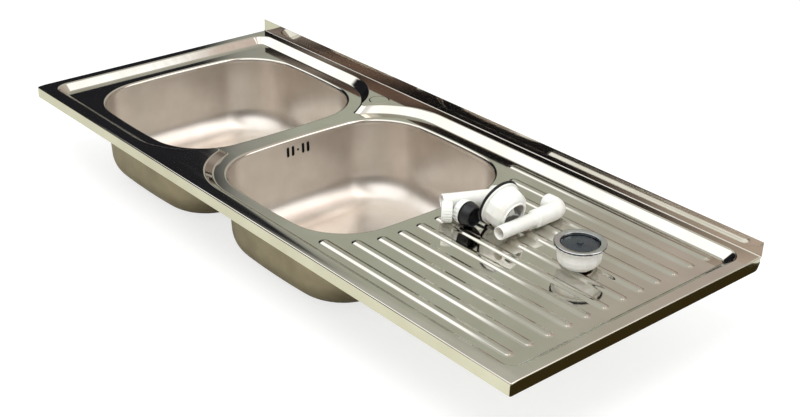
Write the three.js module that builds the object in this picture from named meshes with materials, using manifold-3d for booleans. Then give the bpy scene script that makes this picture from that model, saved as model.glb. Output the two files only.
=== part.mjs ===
// Lay-on stainless steel kitchen sink: two deep-drawn bowls and a ribbed drainer under one pressed deck,
// with its two strainer wastes and loose pipework put down on the drainer, not yet fitted.
// Millimetres, +Z up. Origin: middle of the footprint, on the surface that the bowls stand on.

import * as THREE from "three";
import { mergeVertices } from "three/addons/utils/BufferGeometryUtils.js";
import Module from "manifold-3d";

const wasm = await Module();
wasm.setup();

// ---- Driving dimensions -------------------------------------------------------------------------

const CLEARANCE = 0.3; // between pieces that seat on each other

// Deck: one sheet, folded at its edges and pressed down to a recessed field
const DECK_LENGTH = 1200;
const DECK_DEPTH = 500;
const SHEET = 0.8;
const FOLD_RADIUS = 2;
const SKIRT_HEIGHT = 20;
const SKIRT_HEM = 8; // the skirts' edges turn in by this much
const SKIRT_END_RADIUS = 10;
const UPSTAND_HEIGHT = 23;
const DECK_CORNER_RADIUS = 3;
const RIM_FRONT = 21;
const RIM_SIDE = 19;
const RIM_BACK = 17;
const FIELD_DEPTH = 12;
const FIELD_WALL_RUN = 15;
const FIELD_WALL_BLEND = 1.6;
const FIELD_CORNER_RADIUS = 12; // at the field's floor; the rim's corner is rounder by the wall's run
const TONGUE_TIP_RADIUS = 8; // the two tongues of rim that reach in between the bowls
const TAP_MARK_DIAMETER = 36; // shallow round mark where a tap hole may be cut
const TAP_MARK_HEIGHT = 0.5;
const TAP_MARK_SETBACK = 55;

// Bowls
const BOWL_WIDTH = 350;
const BOWL_LENGTH = 395; // front to back
const BOWL_DEPTH = 155; // deck top to bowl floor
const BOWL_CORNER_RADIUS = 104;
const BOWL_CROWN = 3.3; // degrees that each side bows through, half its arc
const BOWL_FLOOR_RADIUS = 50;
const BOWL_DRAFT = 3.5; // degrees
const BOWL_FLANGE = 9;
const BOWL_MARGIN = 59; // left edge of the deck to the left bowl
const BOWL_PITCH = 380;
const LIP_RADIUS = 5;
const COLLAR_DEPTH = 4; // straight part of the turned-down collar
const FLOOR_FALL = 1;
const SEAT_DIAMETER = 80;
const SEAT_DEPTH = 2.5;
const SEAT_SLOPE = 2;
const WASTE_HOLE_DIAMETER = 60;

// Overflow slots in the right bowl's left wall
const SLOT_WIDTH = 4;
const SLOT_HEIGHT = 18;
const SLOT_PITCH = 10.5;
const SLOT_DROP = 35; // deck top to the slots' middle
const OVERFLOW_SCREW_HOLE = 4;

// Drainer ribs, pressed up from the field
const RIB_COUNT = 12;
const RIB_PITCH = 36;
const RIB_WIDTH = 17;
const RIB_HEIGHT = 2.5;
const RIB_SLOPE = 2;
const RIB_CORNER_RADIUS = 5;
const RIB_FRONT_MARGIN = 12;
const RIB_END_MARGIN = 19;
const RIB_BOWL_BAND = 20; // flat band kept round the bowl

// Strainer waste, measured down from its flange's top
const FLANGE_DIAMETER = 76;
const CUP_DIAMETER = 56;
const CUP_DEPTH = 14.5;
const CUP_EDGE = 1.6; // how far the flange's edge turns down
const STRAINER_HOLES = 6;
const STRAINER_HOLE_DIAMETER = 7;
const STRAINER_CIRCLE = 34;
const GASKET_THICKNESS = 1.7;
const BODY_WALL = 2.4;
const BODY_FLATS = 12;
const WASTE_HEIGHT = 38;
const OUTLET_DIAMETER = 43;
const BOSS_DIAMETER = 11;
const SPIDER_ARMS = 3;
const SPIDER_THICKNESS = 2.5;
const SCREW_DIAMETER = 5.4;
const SCREW_HEAD_DIAMETER = 13;
const SCREW_HEAD_HEIGHT = 2.5;
const SCREW_LENGTH = 15;
const PLUG_DIAMETER = 53.6;
const PLUG_KNOB_DIAMETER = 10;

// Loose pipework
const DRAIN_PIPE_DIAMETER = 25;
const DRAIN_PIPE_WALL = 2;
const DRAIN_PIPE_LENGTH = 105;
const SOCKET_WALL = 2.6;
const SOCKET_LENGTH = 24;
const SLIP_NUT_LENGTH = 16;
const NUT_FLATS = 12;
const WASHER_LENGTH = 7;
const OVERFLOW_PIPE_DIAMETER = 21;
const OVERFLOW_SLEEVE_DIAMETER = 28;
const OVERFLOW_PIPE_WALL = 1.8;
const OVERFLOW_PIPE_LENGTH = 70;
const OVERFLOW_SLEEVE_LENGTH = 42;
const OVERFLOW_BEND_RADIUS = 16;
const OVERFLOW_TAIL = 12;
const OVERFLOW_NUT_DIAMETER = 38;
const OVERFLOW_NUT_LENGTH = 12;
const OVERFLOW_GASKET_THICKNESS = 2;
const OVERFLOW_HEAD_DIAMETER = 37;
const OVERFLOW_HEAD_LENGTH = 15;
const OVERFLOW_SPIGOT_DIAMETER = 18;

// Where the loose pieces lie: X from the deck's left edge, and the rib that they lie on or just behind
const WASTE_A_X = 1043;
const WASTE_A_RIB = 6; // stands across the gap behind this rib
const WASTE_B_X = 879;
const WASTE_B_RIB = 6; // lies in the gap behind this rib
const DRAIN_PIPE_X = 804;
const DRAIN_PIPE_Y = 249;
const DRAIN_PIPE_TURN = -25; // degrees from square to the ribs
const SLIP_NUT_X = 831; // its middle
const SLIP_NUT_RIB = 5; // lies on this rib
const SLIP_NUT_SETBACK = 2; // its middle to the rib's
const SLIP_NUT_TURN = 48; // degrees from the ribs' direction
const OVERFLOW_PIPE_X = 925;
const OVERFLOW_PIPE_Y = 250;
const OVERFLOW_HEAD_X = 840.5;
const OVERFLOW_HEAD_RIB = 5; // lies in the gap behind this rib

// ---- Sizes worked out from them -----------------------------------------------------------------

const degrees = Math.PI / 180;
const bowlMiddleY = DECK_DEPTH / 2;
const leftBowlX = BOWL_MARGIN + BOWL_WIDTH / 2;
const rightBowlX = leftBowlX + BOWL_PITCH;
const fieldZ = -FIELD_DEPTH;
const ribTopZ = fieldZ + RIB_HEIGHT;
const restZ = ribTopZ + CLEARANCE;
const ribGap = RIB_PITCH - RIB_WIDTH + 2 * RIB_SLOPE; // between two ribs' flat tops
const seatZ = -BOWL_DEPTH - FLOOR_FALL - SEAT_DEPTH;
const deckTopZ = SHEET - seatZ;

// ---- Solids -------------------------------------------------------------------------------------

// A closed three.js geometry as a solid, whichever way its faces were wound.
function solid(geometry) {
  const bare = geometry.clone();
  bare.deleteAttribute("normal");
  bare.deleteAttribute("uv");
  const merged = mergeVertices(bare, 1e-4);
  const position = merged.attributes.position;
  const corners = merged.index.array;
  const faces = [];
  let volume = 0;
  const [a, b, c] = [new THREE.Vector3(), new THREE.Vector3(), new THREE.Vector3()];
  for (let i = 0; i < corners.length; i += 3) {
    const [p, q, r] = corners.slice(i, i + 3);
    if (p === q || q === r || r === p) continue; // a face shrunk to nothing on an axis
    faces.push([p, q, r]);
    a.fromBufferAttribute(position, p);
    b.fromBufferAttribute(position, q);
    c.fromBufferAttribute(position, r);
    volume += a.dot(b.cross(c));
  }
  const outward = volume > 0 ? faces : faces.map(([p, q, r]) => [p, r, q]);
  return new wasm.Manifold(
    new wasm.Mesh({
      numProp: 3,
      vertProperties: Float32Array.from(position.array),
      triVerts: Uint32Array.from(outward.flat()),
    }),
  );
}

function geometryOf(shape) {
  const { vertProperties, triVerts } = shape.getMesh();
  const geometry = new THREE.BufferGeometry();
  geometry.setAttribute("position", new THREE.BufferAttribute(vertProperties, 3));
  geometry.setIndex(new THREE.BufferAttribute(triVerts, 1));
  geometry.computeVertexNormals();
  return geometry;
}

// A skin through rings of points, all of one count: capped at both ends, or closed on itself.
function loft(rings, closed = false) {
  const count = rings[0].length;
  const faces = [];
  const spans = closed ? rings.length : rings.length - 1;
  for (let i = 0; i < spans; i += 1) {
    const low = i * count;
    const high = ((i + 1) % rings.length) * count;
    for (let j = 0; j < count; j += 1) {
      const k = (j + 1) % count;
      faces.push(low + j, low + k, high + k, low + j, high + k, high + j);
    }
  }
  if (!closed) {
    const cap = (ring) => THREE.ShapeUtils.triangulateShape(ring.map(([x, y]) => new THREE.Vector2(x, y)), []);
    const top = (rings.length - 1) * count;
    cap(rings[0]).forEach(([p, q, r]) => faces.push(r, q, p));
    cap(rings.at(-1)).forEach(([p, q, r]) => faces.push(top + p, top + q, top + r));
  }
  const geometry = new THREE.BufferGeometry();
  geometry.setAttribute("position", new THREE.Float32BufferAttribute(rings.flat(2), 3));
  geometry.setIndex(faces);
  return solid(geometry);
}

// A profile of [radius, height] turned about Z.
function turned(profile, segments = 24) {
  const points = profile.map(([radius, height]) => new THREE.Vector2(radius, height));
  return solid(new THREE.LatheGeometry(points, segments).rotateX(Math.PI / 2));
}

// The same for a profile that goes round a bore and closes on itself.
function turnedRing(profile, segments = 24) {
  return turned([...profile, profile[0]], segments);
}

function rod(radius, low, high, segments = 16) {
  return turned([[0, low], [radius, low], [radius, high], [0, high]], segments);
}

function block(x0, x1, y0, y1, z0, z1) {
  const box = new THREE.BoxGeometry(x1 - x0, y1 - y0, z1 - z0);
  return solid(box.translate((x0 + x1) / 2, (y0 + y1) / 2, (z0 + z1) / 2));
}

// A shape drawn in the YZ plane and drawn out along X.
function alongX(points, x0, x1) {
  const shape = new THREE.Shape(points.map(([y, z]) => new THREE.Vector2(y, z)));
  const bar = new THREE.ExtrudeGeometry(shape, { depth: x1 - x0, bevelEnabled: false });
  const [x, y, z] = [new THREE.Vector3(1, 0, 0), new THREE.Vector3(0, 1, 0), new THREE.Vector3(0, 0, 1)];
  return solid(bar.applyMatrix4(new THREE.Matrix4().makeBasis(y, z, x)).translate(x0, 0, 0));
}

// ---- Plan outlines: arcs joined by straight lines, anticlockwise -----------------------------------

// An arc from one angle to another, in degrees. One that runs backwards is hollow, so growing shrinks it.
function arc(x, y, radius, from, to, steps) {
  return { x, y, radius, from, to, steps };
}

// The outline's points, with the whole outline moved out by grow, square to itself.
function trace(arcs, grow = 0) {
  const points = [];
  for (const { x, y, radius, from, to, steps } of arcs) {
    const reach = radius + (to > from ? grow : -grow);
    for (let i = 0; i <= steps; i += 1) {
      const angle = (from + ((to - from) * i) / steps) * degrees;
      const point = [x + reach * Math.cos(angle), y + reach * Math.sin(angle)];
      const last = points.at(-1) ?? [Infinity, Infinity];
      if (Math.hypot(point[0] - last[0], point[1] - last[1]) > 1e-3) points.push(point);
    }
  }
  const [first, last] = [points[0], points.at(-1)];
  if (Math.hypot(first[0] - last[0], first[1] - last[1]) < 1e-3) points.pop();
  return points;
}

function ring(points, z) {
  return points.map(([x, y]) => [x, y, z]);
}

// A convex polygon, anticlockwise, with rounded corners.
function rounded(corners, radius, steps) {
  return corners.map(([x, y], i) => {
    const [px, py] = corners.at(i - 1);
    const [nx, ny] = corners[(i + 1) % corners.length];
    const from = Math.atan2(y - py, x - px) / degrees - 90;
    let to = Math.atan2(ny - y, nx - x) / degrees - 90;
    while (to < from) to += 360;
    const middle = ((from + to) / 2) * degrees;
    const reach = radius / Math.cos(((to - from) / 2) * degrees);
    return arc(x - reach * Math.cos(middle), y - reach * Math.sin(middle), radius, from, to, steps);
  });
}

function rectangle(x0, x1, y0, y1, radius, steps = 3) {
  return rounded([[x0, y0], [x1, y0], [x1, y1], [x0, y1]], radius, steps);
}

// Four round corners and four slightly bowed sides, all tangent, and the middles of the front right corner.
// With width and length alike and twice the corner radius it is a circle with its points at the same angles.
function bowedRectangle(x, y, width, length, corner) {
  const radius = Math.min(corner, width / 2, length / 2);
  const [s, c] = [Math.sin(BOWL_CROWN * degrees), Math.cos(BOWL_CROWN * degrees)];
  const u = length / 2 - radius * c + radius * s;
  const v = width / 2 - radius * c + radius * s;
  const scale = s * s - (1 - c) * (1 - c);
  const sideRadius = (s * u - (1 - c) * v) / scale;
  const endRadius = (s * v - (1 - c) * u) / scale;
  const cornerX = (endRadius - radius) * s;
  const cornerY = (sideRadius - radius) * s;
  const arcs = [];
  for (let quarter = 0; quarter < 4; quarter += 1) {
    const turn = quarter * 90;
    const isSide = quarter % 2 === 0;
    const reach = isSide ? width / 2 - sideRadius : length / 2 - endRadius;
    const [dx, dy] = [Math.round(Math.cos(turn * degrees)), Math.round(Math.sin(turn * degrees))];
    const bow = isSide ? sideRadius : endRadius;
    arcs.push(arc(x + dx * reach, y + dy * reach, bow, turn - BOWL_CROWN, turn + BOWL_CROWN, 2));
    const [signX, signY] = [quarter === 0 || quarter === 3 ? 1 : -1, quarter < 2 ? 1 : -1];
    const [start, end] = [turn + BOWL_CROWN, turn + 90 - BOWL_CROWN];
    arcs.push(arc(x + signX * cornerX, y + signY * cornerY, radius, start, end, 7));
  }
  return { arcs, cornerX, cornerY, radius };
}

const leftMouth = bowedRectangle(leftBowlX, bowlMiddleY, BOWL_WIDTH, BOWL_LENGTH, BOWL_CORNER_RADIUS);
const rightMouth = bowedRectangle(rightBowlX, bowlMiddleY, BOWL_WIDTH, BOWL_LENGTH, BOWL_CORNER_RADIUS);

// ---- Deck -----------------------------------------------------------------------------------------

// A tongue of rim between the bowls: two arcs about the bowls' corners and a small round tip.
// edge is the field's edge at its floor, and shift moves the tongue towards that edge as the wall climbs.
function tongue(edge, shift, isBack) {
  const sign = isBack ? 1 : -1;
  const cornerY = bowlMiddleY + sign * leftMouth.cornerY;
  const reach = Math.abs(edge - cornerY);
  const middleX = (leftBowlX + rightBowlX) / 2;
  const half = middleX - leftBowlX - leftMouth.cornerX;
  const tip = Math.max(TONGUE_TIP_RADIUS, half - reach + 1);
  const rise = Math.sqrt((reach + tip) ** 2 - half ** 2);
  const lean = Math.atan2(rise, half) / degrees;
  const y = cornerY + sign * shift;
  const tipY = y + sign * rise;
  const [leftX, rightX] = [middleX - half, middleX + half];
  if (isBack) {
    return [
      arc(rightX, y, reach, 90, 180 - lean, 6),
      arc(middleX, tipY, tip, -lean, lean - 180, 5),
      arc(leftX, y, reach, lean, 90, 6),
    ];
  }
  return [
    arc(leftX, y, reach, 270, 360 - lean, 6),
    arc(middleX, tipY, tip, 180 - lean, lean, 5),
    arc(rightX, y, reach, 180 + lean, 270, 6),
  ];
}

// The field's edge, grown by the run of its wall so far: 0 at its floor, FIELD_WALL_RUN at the rim.
function fieldOutline(grow) {
  const left = RIM_SIDE + FIELD_WALL_RUN - grow;
  const right = DECK_LENGTH - left;
  const front = RIM_FRONT + FIELD_WALL_RUN - grow;
  const back = DECK_DEPTH - RIM_BACK - FIELD_WALL_RUN + grow;
  const [frontLeft, frontRight, backRight, backLeft] = rectangle(
    left, right, front, back, FIELD_CORNER_RADIUS + grow, 5,
  );
  return trace([
    frontLeft,
    ...tongue(front + grow, grow, false),
    frontRight,
    backRight,
    ...tongue(back - grow, grow, true),
    backLeft,
  ]);
}

function fieldRings(drop) {
  const slope = Math.hypot(FIELD_WALL_RUN, FIELD_DEPTH);
  const blendRun = (FIELD_WALL_BLEND * FIELD_WALL_RUN) / slope;
  const blendRise = (FIELD_WALL_BLEND * FIELD_DEPTH) / slope;
  return [
    [-FIELD_WALL_BLEND, fieldZ],
    [blendRun, fieldZ + blendRise],
    [FIELD_WALL_RUN - blendRun, -blendRise],
    [FIELD_WALL_RUN + FIELD_WALL_BLEND, 0],
  ].map(([grow, z]) => ring(fieldOutline(grow), z - drop));
}

// Front edge of a rib, counted from the front.
function ribFront(index) {
  return RIM_FRONT + FIELD_WALL_RUN + RIB_FRONT_MARGIN + index * RIB_PITCH;
}

function ribMiddle(index) {
  return ribFront(index) + RIB_WIDTH / 2;
}

// Where a rib starts at this distance from the front: a band's width off the right bowl's edge.
function ribStart(y) {
  const reach = rightMouth.radius + RIB_BOWL_BAND;
  const aside = Math.max(0, Math.abs(y - bowlMiddleY) - rightMouth.cornerY);
  const corner = rightBowlX + rightMouth.cornerX;
  return corner + Math.sqrt(Math.max(0, reach ** 2 - aside ** 2));
}

function ribOutline(index) {
  const [front, back] = [ribFront(index), ribFront(index) + RIB_WIDTH];
  const end = DECK_LENGTH - RIM_SIDE - FIELD_WALL_RUN - RIB_END_MARGIN;
  return rounded([[ribStart(front), front], [end, front], [end, back], [ribStart(back), back]], RIB_CORNER_RADIUS, 2);
}

// All that lies under the sheet's upper face, or under its lower face with drop and inset set to the sheet.
function pressing(drop, inset, bottom) {
  const fold = FOLD_RADIUS - inset;
  const edge = rectangle(inset, DECK_LENGTH - inset, inset, DECK_DEPTH + 10 * FOLD_RADIUS, DECK_CORNER_RADIUS);
  let form = loft([
    ring(trace(edge), bottom),
    ring(trace(edge), -drop - fold),
    ring(trace(edge, -0.29 * fold), -drop - 0.29 * fold),
    ring(trace(edge, -fold), -drop),
  ]);
  const walls = fieldRings(drop);
  form = form.subtract(loft([...walls, walls.at(-1).map(([x, y, z]) => [x, y, z + FIELD_DEPTH])]));
  for (let index = 0; index < RIB_COUNT; index += 1) {
    const outline = ribOutline(index);
    const rib = loft([
      ring(trace(outline), fieldZ - drop - 1),
      ring(trace(outline), fieldZ - drop),
      ring(trace(outline, -RIB_SLOPE), ribTopZ - drop),
    ]);
    form = form.add(rib);
  }
  const mark = rod(TAP_MARK_DIAMETER / 2, -1, TAP_MARK_HEIGHT, 24);
  return form.add(mark.translate([(leftBowlX + rightBowlX) / 2, DECK_DEPTH - TAP_MARK_SETBACK, -drop]));
}

// The sheet rolled over each bowl's edge and down inside it.
function collar(mouth) {
  const bend = (radius) =>
    [90, 67.5, 45, 22.5, 0].map((angle) => [
      -radius * Math.cos(angle * degrees),
      fieldZ - LIP_RADIUS + radius * Math.sin(angle * degrees),
    ]);
  const foot = fieldZ - LIP_RADIUS - COLLAR_DEPTH;
  const hidden = LIP_RADIUS - SHEET;
  const profile = [...bend(LIP_RADIUS), [-LIP_RADIUS, foot], [-hidden, foot], ...bend(hidden).reverse()];
  return loft(profile.map(([grow, z]) => ring(trace(mouth.arcs, grow), z)), true);
}

// The back edge: the sheet folded up against the wall.
function upstand(backEdge) {
  const outer = FOLD_RADIUS + SHEET;
  const bend = (radius, angles) =>
    angles.map((angle) => [
      backEdge + radius * Math.cos(angle * degrees),
      FOLD_RADIUS + radius * Math.sin(angle * degrees),
    ]);
  const angles = [-90, -60, -30, 0];
  const profile = [
    ...bend(outer, angles),
    [DECK_DEPTH, UPSTAND_HEIGHT],
    [DECK_DEPTH - SHEET, UPSTAND_HEIGHT],
    ...bend(FOLD_RADIUS, angles.toReversed()),
  ];
  return alongX(profile, 0, DECK_LENGTH);
}

function sinkTop() {
  const backEdge = DECK_DEPTH - SHEET - FOLD_RADIUS;
  const beyond = DECK_DEPTH + 20 * FOLD_RADIUS;
  let sheet = pressing(0, 0, -SKIRT_HEIGHT).subtract(pressing(SHEET, SHEET, SHEET - SKIRT_HEIGHT));
  sheet = sheet.subtract(
    block(SKIRT_HEM, DECK_LENGTH - SKIRT_HEM, SKIRT_HEM, beyond, -SKIRT_HEIGHT - 1, 2 * SHEET - SKIRT_HEIGHT),
  );
  sheet = sheet.subtract(block(-1, DECK_LENGTH + 1, backEdge, beyond, -SKIRT_HEIGHT - 1, 1));
  const [endY, endZ] = [backEdge - SKIRT_END_RADIUS, SKIRT_END_RADIUS - SKIRT_HEIGHT];
  const roundEnd = [0, 22.5, 45, 67.5, 90].map((angle) => [
    endY + SKIRT_END_RADIUS * Math.sin(angle * degrees),
    endZ - SKIRT_END_RADIUS * Math.cos(angle * degrees),
  ]);
  const clipped = [[endY, -SKIRT_HEIGHT - 1], [backEdge + 1, -SKIRT_HEIGHT - 1], [backEdge + 1, endZ]];
  sheet = sheet.subtract(alongX([...clipped, ...roundEnd.toReversed()], -1, DECK_LENGTH + 1));
  sheet = sheet.add(upstand(backEdge));
  for (const mouth of [leftMouth, rightMouth]) {
    const outline = trace(mouth.arcs);
    sheet = sheet.subtract(loft([ring(outline, fieldZ - FIELD_DEPTH), ring(outline, fieldZ + FIELD_DEPTH)]));
    sheet = sheet.add(collar(mouth));
  }
  return sheet;
}

// ---- Bowls ----------------------------------------------------------------------------------------

// The bowl's wall offset from its mouth at a height, and its floor's round edge.
const lipZ = fieldZ - LIP_RADIUS;
const bendRadius = LIP_RADIUS - SHEET - CLEARANCE;
const draftSlope = Math.tan(BOWL_DRAFT * degrees);
const wallAt = (z) => -bendRadius - (lipZ - z) * draftSlope;

function bowl(mouth, x) {
  const floorZ = -BOWL_DEPTH;
  const deepest = Math.min(-floorZ + lipZ - COLLAR_DEPTH, mouth.radius + wallAt(floorZ) - 5);
  const floorRadius = Math.min(BOWL_FLOOR_RADIUS, deepest);
  const arcZ = floorZ + floorRadius;
  const arcGrow = wallAt(arcZ - floorRadius * Math.sin(BOWL_DRAFT * degrees)) - floorRadius * Math.cos(BOWL_DRAFT * degrees);
  const along = (grow, z) => ring(trace(mouth.arcs, grow), z);
  const circle = (radius, z) =>
    ring(trace(bowedRectangle(x, bowlMiddleY, 2 * radius, 2 * radius, radius).arcs), z);
  const bend = (radius) =>
    [90, 45, 0].map((angle) => along(-radius * Math.cos(angle * degrees), lipZ + radius * Math.sin(angle * degrees)));
  const floorBend = (radius) =>
    [0, 0.25, 0.5, 0.75, 1].map((share) => {
      const angle = (BOWL_DRAFT + (90 - BOWL_DRAFT) * share) * degrees;
      return along(arcGrow + radius * Math.cos(angle), arcZ - radius * Math.sin(angle));
    });
  const flangeZ = lipZ + bendRadius;
  const seatEdgeZ = floorZ - FLOOR_FALL;
  const inside = [
    along(BOWL_FLANGE, flangeZ),
    ...bend(bendRadius),
    ...floorBend(floorRadius),
    circle(SEAT_DIAMETER / 2 + SEAT_SLOPE, seatEdgeZ),
    circle(SEAT_DIAMETER / 2, seatZ),
    circle(WASTE_HOLE_DIAMETER / 2, seatZ),
  ];
  const outside = [
    along(BOWL_FLANGE, flangeZ - SHEET),
    ...bend(bendRadius - SHEET),
    ...floorBend(floorRadius + SHEET),
    circle(SEAT_DIAMETER / 2 + SEAT_SLOPE + SHEET / 2, seatEdgeZ - SHEET),
    circle(SEAT_DIAMETER / 2 + SHEET / 2, seatZ - SHEET),
    circle(WASTE_HOLE_DIAMETER / 2, seatZ - SHEET),
  ];
  return loft([...inside, ...outside.toReversed()], true);
}

// Four upright slots and a screw hole between them, through the right bowl's left wall.
function overflowSlots() {
  const wallX = rightBowlX - BOWL_WIDTH / 2 - wallAt(-SLOT_DROP);
  const cutter = (y, width, height) => {
    const outline = rectangle(y - width / 2, y + width / 2, -SLOT_DROP - height / 2, height / 2 - SLOT_DROP, width / 2 - 0.01);
    return alongX(trace(outline), wallX - FIELD_DEPTH, wallX + FIELD_DEPTH);
  };
  let cuts = cutter(bowlMiddleY, OVERFLOW_SCREW_HOLE, OVERFLOW_SCREW_HOLE);
  for (const step of [-2, -1, 1, 2]) {
    cuts = cuts.add(cutter(bowlMiddleY + step * SLOT_PITCH, SLOT_WIDTH, SLOT_HEIGHT));
  }
  return cuts;
}

// ---- Strainer waste: flange top at z = 0, everything hangs below it -----------------------------------

const flangeRadius = FLANGE_DIAMETER / 2;
const cupRadius = CUP_DIAMETER / 2;
const gasketTop = -CUP_EDGE - CLEARANCE;
const gasketFoot = gasketTop - GASKET_THICKNESS;
const bodyTop = gasketFoot - CLEARANCE;
const bodyRadius = cupRadius + SHEET + CLEARANCE + 1 + BODY_WALL;
const screwSeat = -CUP_DEPTH + CLEARANCE;
const bossTop = -CUP_DEPTH - SHEET - CLEARANCE;
const shankEnd = screwSeat - SCREW_LENGTH;

function strainerCup() {
  const shell = turnedRing([
    [SCREW_DIAMETER / 2 + 2 * CLEARANCE, -CUP_DEPTH],
    [cupRadius - 2, -CUP_DEPTH],
    [cupRadius, -CUP_DEPTH + 2],
    [cupRadius + 0.3, -1],
    [flangeRadius - 3, 0],
    [flangeRadius - 0.8, -0.4],
    [flangeRadius, -CUP_EDGE],
    [flangeRadius - SHEET, -CUP_EDGE],
    [flangeRadius - 3, -SHEET],
    [cupRadius + 0.3 + SHEET, -1 - SHEET],
    [cupRadius + SHEET, -CUP_DEPTH + 2 - SHEET],
    [cupRadius - 2 + SHEET / 2, -CUP_DEPTH - SHEET],
    [SCREW_DIAMETER / 2 + 2 * CLEARANCE, -CUP_DEPTH - SHEET],
  ]);
  let holes = null;
  for (let i = 0; i < STRAINER_HOLES; i += 1) {
    const angle = ((i + 0.5) / STRAINER_HOLES) * 2 * Math.PI;
    const hole = rod(STRAINER_HOLE_DIAMETER / 2, -CUP_DEPTH - 2 * SHEET, -CUP_DEPTH + SHEET, 8).translate([
      (STRAINER_CIRCLE / 2) * Math.cos(angle),
      (STRAINER_CIRCLE / 2) * Math.sin(angle),
      0,
    ]);
    holes = holes ? holes.add(hole) : hole;
  }
  return shell.subtract(holes);
}

function wasteGasket() {
  const inner = cupRadius + SHEET + CLEARANCE + 0.5;
  const [low, high] = [gasketFoot, gasketTop];
  return turnedRing([[inner, low], [flangeRadius - 0.6, low], [flangeRadius - 0.6, high], [inner, high]]);
}

// A faceted plastic cup with a round bottom, an open outlet, and a spider that carries the screw's boss.
function wasteBody() {
  const bottom = -WASTE_HEIGHT;
  const outlet = OUTLET_DIAMETER / 2;
  const outside = turned([
    [0, bottom],
    [outlet, bottom],
    [outlet, bottom + 2],
    [bodyRadius - 7, bottom + 3.5],
    [bodyRadius - 2, bottom + 9],
    [bodyRadius, bottom + 16],
    [bodyRadius, bodyTop - 3.6],
    [0, bodyTop - 3.6],
  ], BODY_FLATS);
  const flange = rod(flangeRadius - 2.5, bodyTop - 3.6, bodyTop, 24);
  const bore = turned([
    [0, bottom - 1],
    [outlet - BODY_WALL, bottom - 1],
    [outlet - BODY_WALL, bottom + 4.5],
    [bodyRadius - 7 - BODY_WALL, bottom + 6],
    [bodyRadius - 2 - BODY_WALL, bottom + 11],
    [bodyRadius - BODY_WALL - 0.6, bottom + 17],
    [bodyRadius - BODY_WALL - 0.6, bodyTop + 1],
    [0, bodyTop + 1],
  ]);
  const spiderTop = bossTop - 2;
  const spiderFoot = bottom + 6.5;
  let spider = rod(BOSS_DIAMETER / 2, spiderFoot, bossTop, 12);
  for (let i = 0; i < SPIDER_ARMS; i += 1) {
    const arm = block(0, bodyRadius - 4, -SPIDER_THICKNESS / 2, SPIDER_THICKNESS / 2, spiderFoot, spiderTop);
    spider = spider.add(arm.rotate([0, 0, (i * 360) / SPIDER_ARMS]));
  }
  const cup = outside.add(flange).subtract(bore);
  const inside = outside.intersect(spider);
  return cup.add(inside).subtract(rod(SCREW_DIAMETER / 2 + CLEARANCE, shankEnd - CLEARANCE, bossTop + 1, 12));
}

function wasteScrew() {
  const head = SCREW_HEAD_DIAMETER / 2;
  const shank = SCREW_DIAMETER / 2;
  const screw = turned([
    [0, shankEnd],
    [shank - 0.6, shankEnd],
    [shank, shankEnd + 1.5],
    [shank, screwSeat],
    [head, screwSeat],
    [head, screwSeat + 0.8],
    [head - 2, screwSeat + SCREW_HEAD_HEIGHT],
    [0, screwSeat + SCREW_HEAD_HEIGHT],
  ], 16);
  const top = screwSeat + SCREW_HEAD_HEIGHT;
  return screw.subtract(block(-head, head, -0.6, 0.6, top - 1.2, top + 1));
}

// The rubber basket plug stands on the screw's head and closes the cup near its top.
function wastePlug() {
  const foot = screwSeat + SCREW_HEAD_HEIGHT + CLEARANCE;
  const seal = PLUG_DIAMETER / 2;
  const knob = PLUG_KNOB_DIAMETER / 2;
  return turned([
    [0, foot],
    [knob + 1, foot],
    [knob + 1, foot + 2],
    [seal - 3, foot + 3],
    [seal, foot + 4.5],
    [seal - 0.8, foot + 6.5],
    [knob + 3, foot + 7],
    [knob - 1, foot + 8],
    [knob - 1, foot + 9.2],
    [knob, foot + 10],
    [knob - 1, foot + 11],
    [0, foot + 11.2],
  ], 20);
}

// How far a round piece of this radius sinks into the gap between two ribs: onto their edges, or onto the field.
function sag(radius) {
  const half = Math.min(ribGap / 2, radius);
  return Math.min(RIB_HEIGHT, radius - Math.sqrt(radius ** 2 - half ** 2));
}

// Lying on its side, the waste rolls down until its flange's edge and the foot of its body both touch.
const wasteLean = Math.min(
  ...[[OUTLET_DIAMETER / 2, WASTE_HEIGHT], [bodyRadius - 2, WASTE_HEIGHT - 9], [bodyRadius, WASTE_HEIGHT - 16]].map(
    ([radius, along]) => Math.atan2(flangeRadius - radius, along - CUP_EDGE),
  ),
);

// ---- Loose pipework, each turned about its own axis --------------------------------------------------

const socketRadius = DRAIN_PIPE_DIAMETER / 2 + CLEARANCE + SOCKET_WALL + 1.5;

// A plain spigot at z = 0 and a wider socket at the far end.
function drainPipe() {
  const outer = DRAIN_PIPE_DIAMETER / 2;
  const inner = outer - DRAIN_PIPE_WALL;
  const socketInner = socketRadius - SOCKET_WALL;
  const shoulder = DRAIN_PIPE_LENGTH - SOCKET_LENGTH;
  return turnedRing([
    [inner, 0],
    [outer - 1, 0],
    [outer, 1.5],
    [outer, shoulder - 4],
    [socketRadius, shoulder],
    [socketRadius, DRAIN_PIPE_LENGTH],
    [socketInner, DRAIN_PIPE_LENGTH],
    [socketInner, shoulder + 1],
    [inner, shoulder - 2],
  ]);
}

const washerTop = SLIP_NUT_LENGTH - 3 - CLEARANCE;

// A threaded nut with a lip that bears on the cone washer; both fit the drain pipe.
function slipNut() {
  const bore = DRAIN_PIPE_DIAMETER / 2 + CLEARANCE;
  const [low, high] = [0, SLIP_NUT_LENGTH];
  const thread = socketRadius - 1.8;
  const body = turned([[0, low], [socketRadius, low], [socketRadius, high - 2], [socketRadius - 2, high], [0, high]], NUT_FLATS);
  return body.subtract(
    turned([[0, low - 1], [thread, low - 1], [thread, high - 3], [bore, high - 3], [bore, high + 1], [0, high + 1]]),
  );
}

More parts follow.
